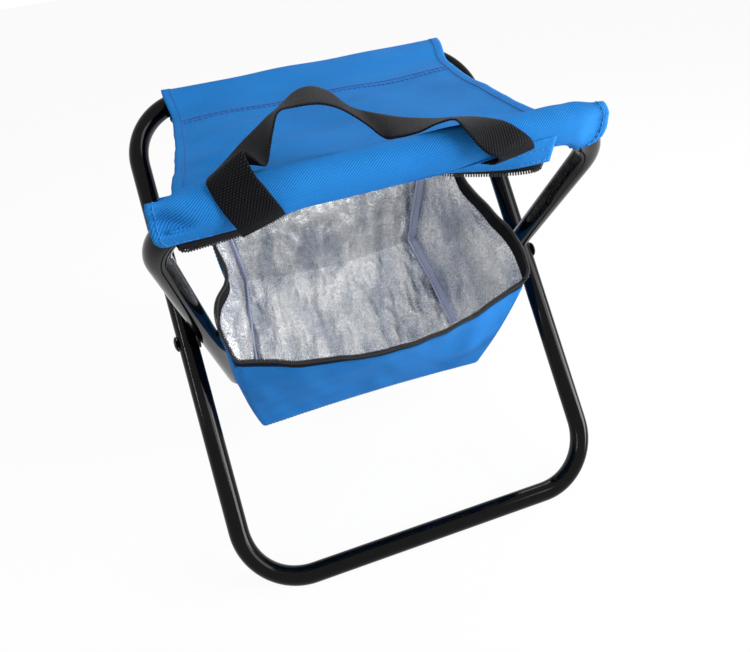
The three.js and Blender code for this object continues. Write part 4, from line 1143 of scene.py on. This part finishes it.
# its two edges in mm, from the seam at the left, over the sharp fold behind the sleeve, to the right
handle_rows = np.array([
    (-86.8, -140.3, 309.3, -62.9, -140.3, 316.6), (-88.5, -143.4, 315.6, -64.9, -146.9, 323.0),
    (-93.0, -143.9, 326.7, -70.0, -149.2, 334.8), (-96.4, -139.2, 337.6, -74.1, -148.7, 343.6),
    (-96.2, -134.1, 339.4, -76.0, -141.9, 352.0), (-91.4, -122.3, 339.1, -72.1, -136.0, 347.1),
    (-84.4, -113.7, 341.2, -67.8, -132.4, 340.5), (-74.4, -102.2, 344.9, -64.4, -124.3, 338.9),
    (-64.3, -93.8, 348.7, -61.3, -118.1, 343.8), (-56.0, -88.5, 352.3, -57.4, -113.4, 351.0),
    (-49.3, -85.1, 354.6, -52.9, -109.6, 357.9), (-38.6, -83.0, 360.6, -43.5, -107.4, 358.6),
    (-28.0, -82.6, 361.5, -29.7, -107.2, 357.4), (-18.5, -83.0, 356.7, -20.6, -107.8, 353.8),
    (-11.2, -84.2, 349.2, -13.8, -109.1, 349.1), (-5.7, -86.3, 345.8, -7.3, -111.1, 343.5),
    (-0.3, -92.3, 344.4, 0.6, -115.8, 335.7), (14.7, -100.1, 340.4, 6.3, -123.3, 336.5),
    (25.3, -107.0, 339.1, 16.3, -130.4, 339.1), (34.6, -113.5, 338.6, 24.5, -135.9, 343.2),
    (42.4, -119.2, 339.0, 31.8, -141.1, 344.9), (49.4, -124.8, 339.1, 34.5, -144.8, 341.5),
    (56.4, -131.0, 338.3, 37.2, -147.0, 337.4), (62.4, -137.7, 336.8, 40.6, -149.1, 332.1),
    (67.0, -143.5, 333.3, 44.1, -152.1, 328.0), (71.9, -146.6, 328.6, 48.0, -153.4, 325.5),
    (76.3, -143.6, 322.3, 52.1, -149.9, 322.5), (77.0, -141.3, 320.6, 52.3, -144.7, 318.2),
    (71.4, -139.5, 320.5, 46.5, -139.5, 318.2),
])
middle = (handle_rows[:, :3] + handle_rows[:, 3:]) / 2
places = np.concatenate([[0], np.cumsum(np.linalg.norm(np.diff(middle, axis=0), axis=1) ** 0.75)])
curves = [smooth_through(np.stack([places, column], 1)) for column in handle_rows.T]
run = np.stack([curve(np.linspace(0, places[-1], 300)) for curve in curves], 1)
strip, _ = strap_part(run[:, :3], run[:, 3:], 1.4, cells=16, rounding=0.3)
handle = piece("carry_handle_webbing", [strip], [black_webbing])
stands_for(handle, "black_webbing", "carry_handle")
bends_with_seat(handle)

# Floor and lamps. White paper under four soft lamps: two at the front right, one high and one low, a
# smaller one behind at the right, and a narrow strip at the front left. The paper and the room show
# white to the camera and in reflections.


def seen_share(tree):
    """1 for what the camera sees, also in a mirror or through glass, and 0 for light on the object."""
    rays = add_node(tree, "LightPath")
    seen = rays.outputs["Is Camera Ray"]
    for kind in ("Is Glossy Ray", "Is Transmission Ray"):
        seen = add_node(tree, "Math", {0: seen, 1: rays.outputs[kind]}, operation="MAXIMUM")
    return seen


# Matt paper with a faint cloud of fibres. Some of its own shade stays, so that it keeps a soft shadow.
white_paper, place = new_material("white_paper_floor")
fibre = add_node(white_paper, "TexNoise", {"Vector": place, "Scale": 1 / 0.002, "Detail": 3.0})
paper_shade = add_node(white_paper, "ValToRGB", {"Fac": fibre}, [(0.2, "#f2f2f2"), (0.8, "#f7f7f7")])
matt = add_node(white_paper, "BsdfDiffuse", {"Color": paper_shade})
glow = add_node(white_paper, "Emission", {"Color": (1, 1, 1, 1), "Strength": 1.0})
whiteness = 0.94
share = add_node(white_paper, "Math", {0: seen_share(white_paper), 1: whiteness}, operation="MULTIPLY")
mixed = add_node(white_paper, "MixShader", {0: share, 1: matt, 2: glow})
add_node(white_paper, "OutputMaterial", {"Surface": mixed})
paper_half, paper_lines = 12000.0, 9
ticks = np.linspace(-paper_half, paper_half, paper_lines)
grid = np.stack(np.meshgrid(ticks, ticks) + [np.zeros((paper_lines, paper_lines))], -1)
floor = piece("paper_floor", [sheet_part(grid, np.zeros(grid.shape[:2] + (2,)), 2.0, sink=1.0)], [white_paper])

room = bpy.data.worlds.new("white_room")
bpy.context.scene.world = room
room.use_nodes = True
room.node_tree.nodes.clear()
soft = add_node(room, "Background", {"Color": (1, 1, 1, 1), "Strength": 0.3})
white = add_node(room, "Background", {"Color": (1, 1, 1, 1), "Strength": 1.0})
mixed = add_node(room, "MixShader", {0: seen_share(room), 1: soft, 2: white})
add_node(room, "OutputWorld", {"Surface": mixed})

# each lamp's place, width and height in metres, and its power; all point at the bag's middle
lamps = {"right_softbox": ((0.85, -0.65, 0.95), 0.7, 0.7, 10.5),
         "low_right_softbox": ((1.2, -0.65, 0.35), 0.6, 0.6, 18.0),
         "rear_softbox": ((0.45, 0.9, 1.0), 0.4, 0.4, 4.0),
         "left_strip_light": ((-1.0, -0.5, 0.9), 0.02, 0.7, 4.0)}
lamp_aim = Vector((0, 0, 0.2))
for name, (stand, width, height, watts) in lamps.items():
    lamp_data = bpy.data.lights.new(name, "AREA")
    lamp_data.shape = "RECTANGLE"
    lamp_data.size, lamp_data.size_y, lamp_data.energy = width, height, watts
    lamp = placed(name, lamp_data)
    lamp.location = stand
    lamp.rotation_euler = (lamp_aim - Vector(stand)).to_track_quat("-Z", "Y").to_euler()

# Camera. It looks down at the stool from the front left, tilted a little, as the photograph does. Its
# lens, angles and place were solved from the edges of the two loops in the photograph.

camera_data = bpy.data.cameras.new("camera")
camera_data.lens, camera_data.sensor_width, camera_data.clip_end = 27.449, 36, 100
camera = placed("camera", camera_data)
stand = (-0.0860123, -0.4178692, 0.4316469)
yaw, pitch, roll = 0.2154, 0.6099, -0.1484
forward = Vector((math.sin(yaw) * math.cos(pitch), math.cos(yaw) * math.cos(pitch), -math.sin(pitch)))
level = forward.cross(Vector((0, 0, 1))).normalized()
upright = level.cross(forward)
aside = level * math.cos(roll) + upright * math.sin(roll)
overhead = upright * math.cos(roll) - level * math.sin(roll)
rows = [(aside[i], overhead[i], -forward[i], stand[i]) for i in range(3)]
camera.matrix_world = Matrix(rows + [(0, 0, 0, 1)])
bpy.context.scene.camera = camera
bpy.context.scene.view_settings.view_transform = "Standard"
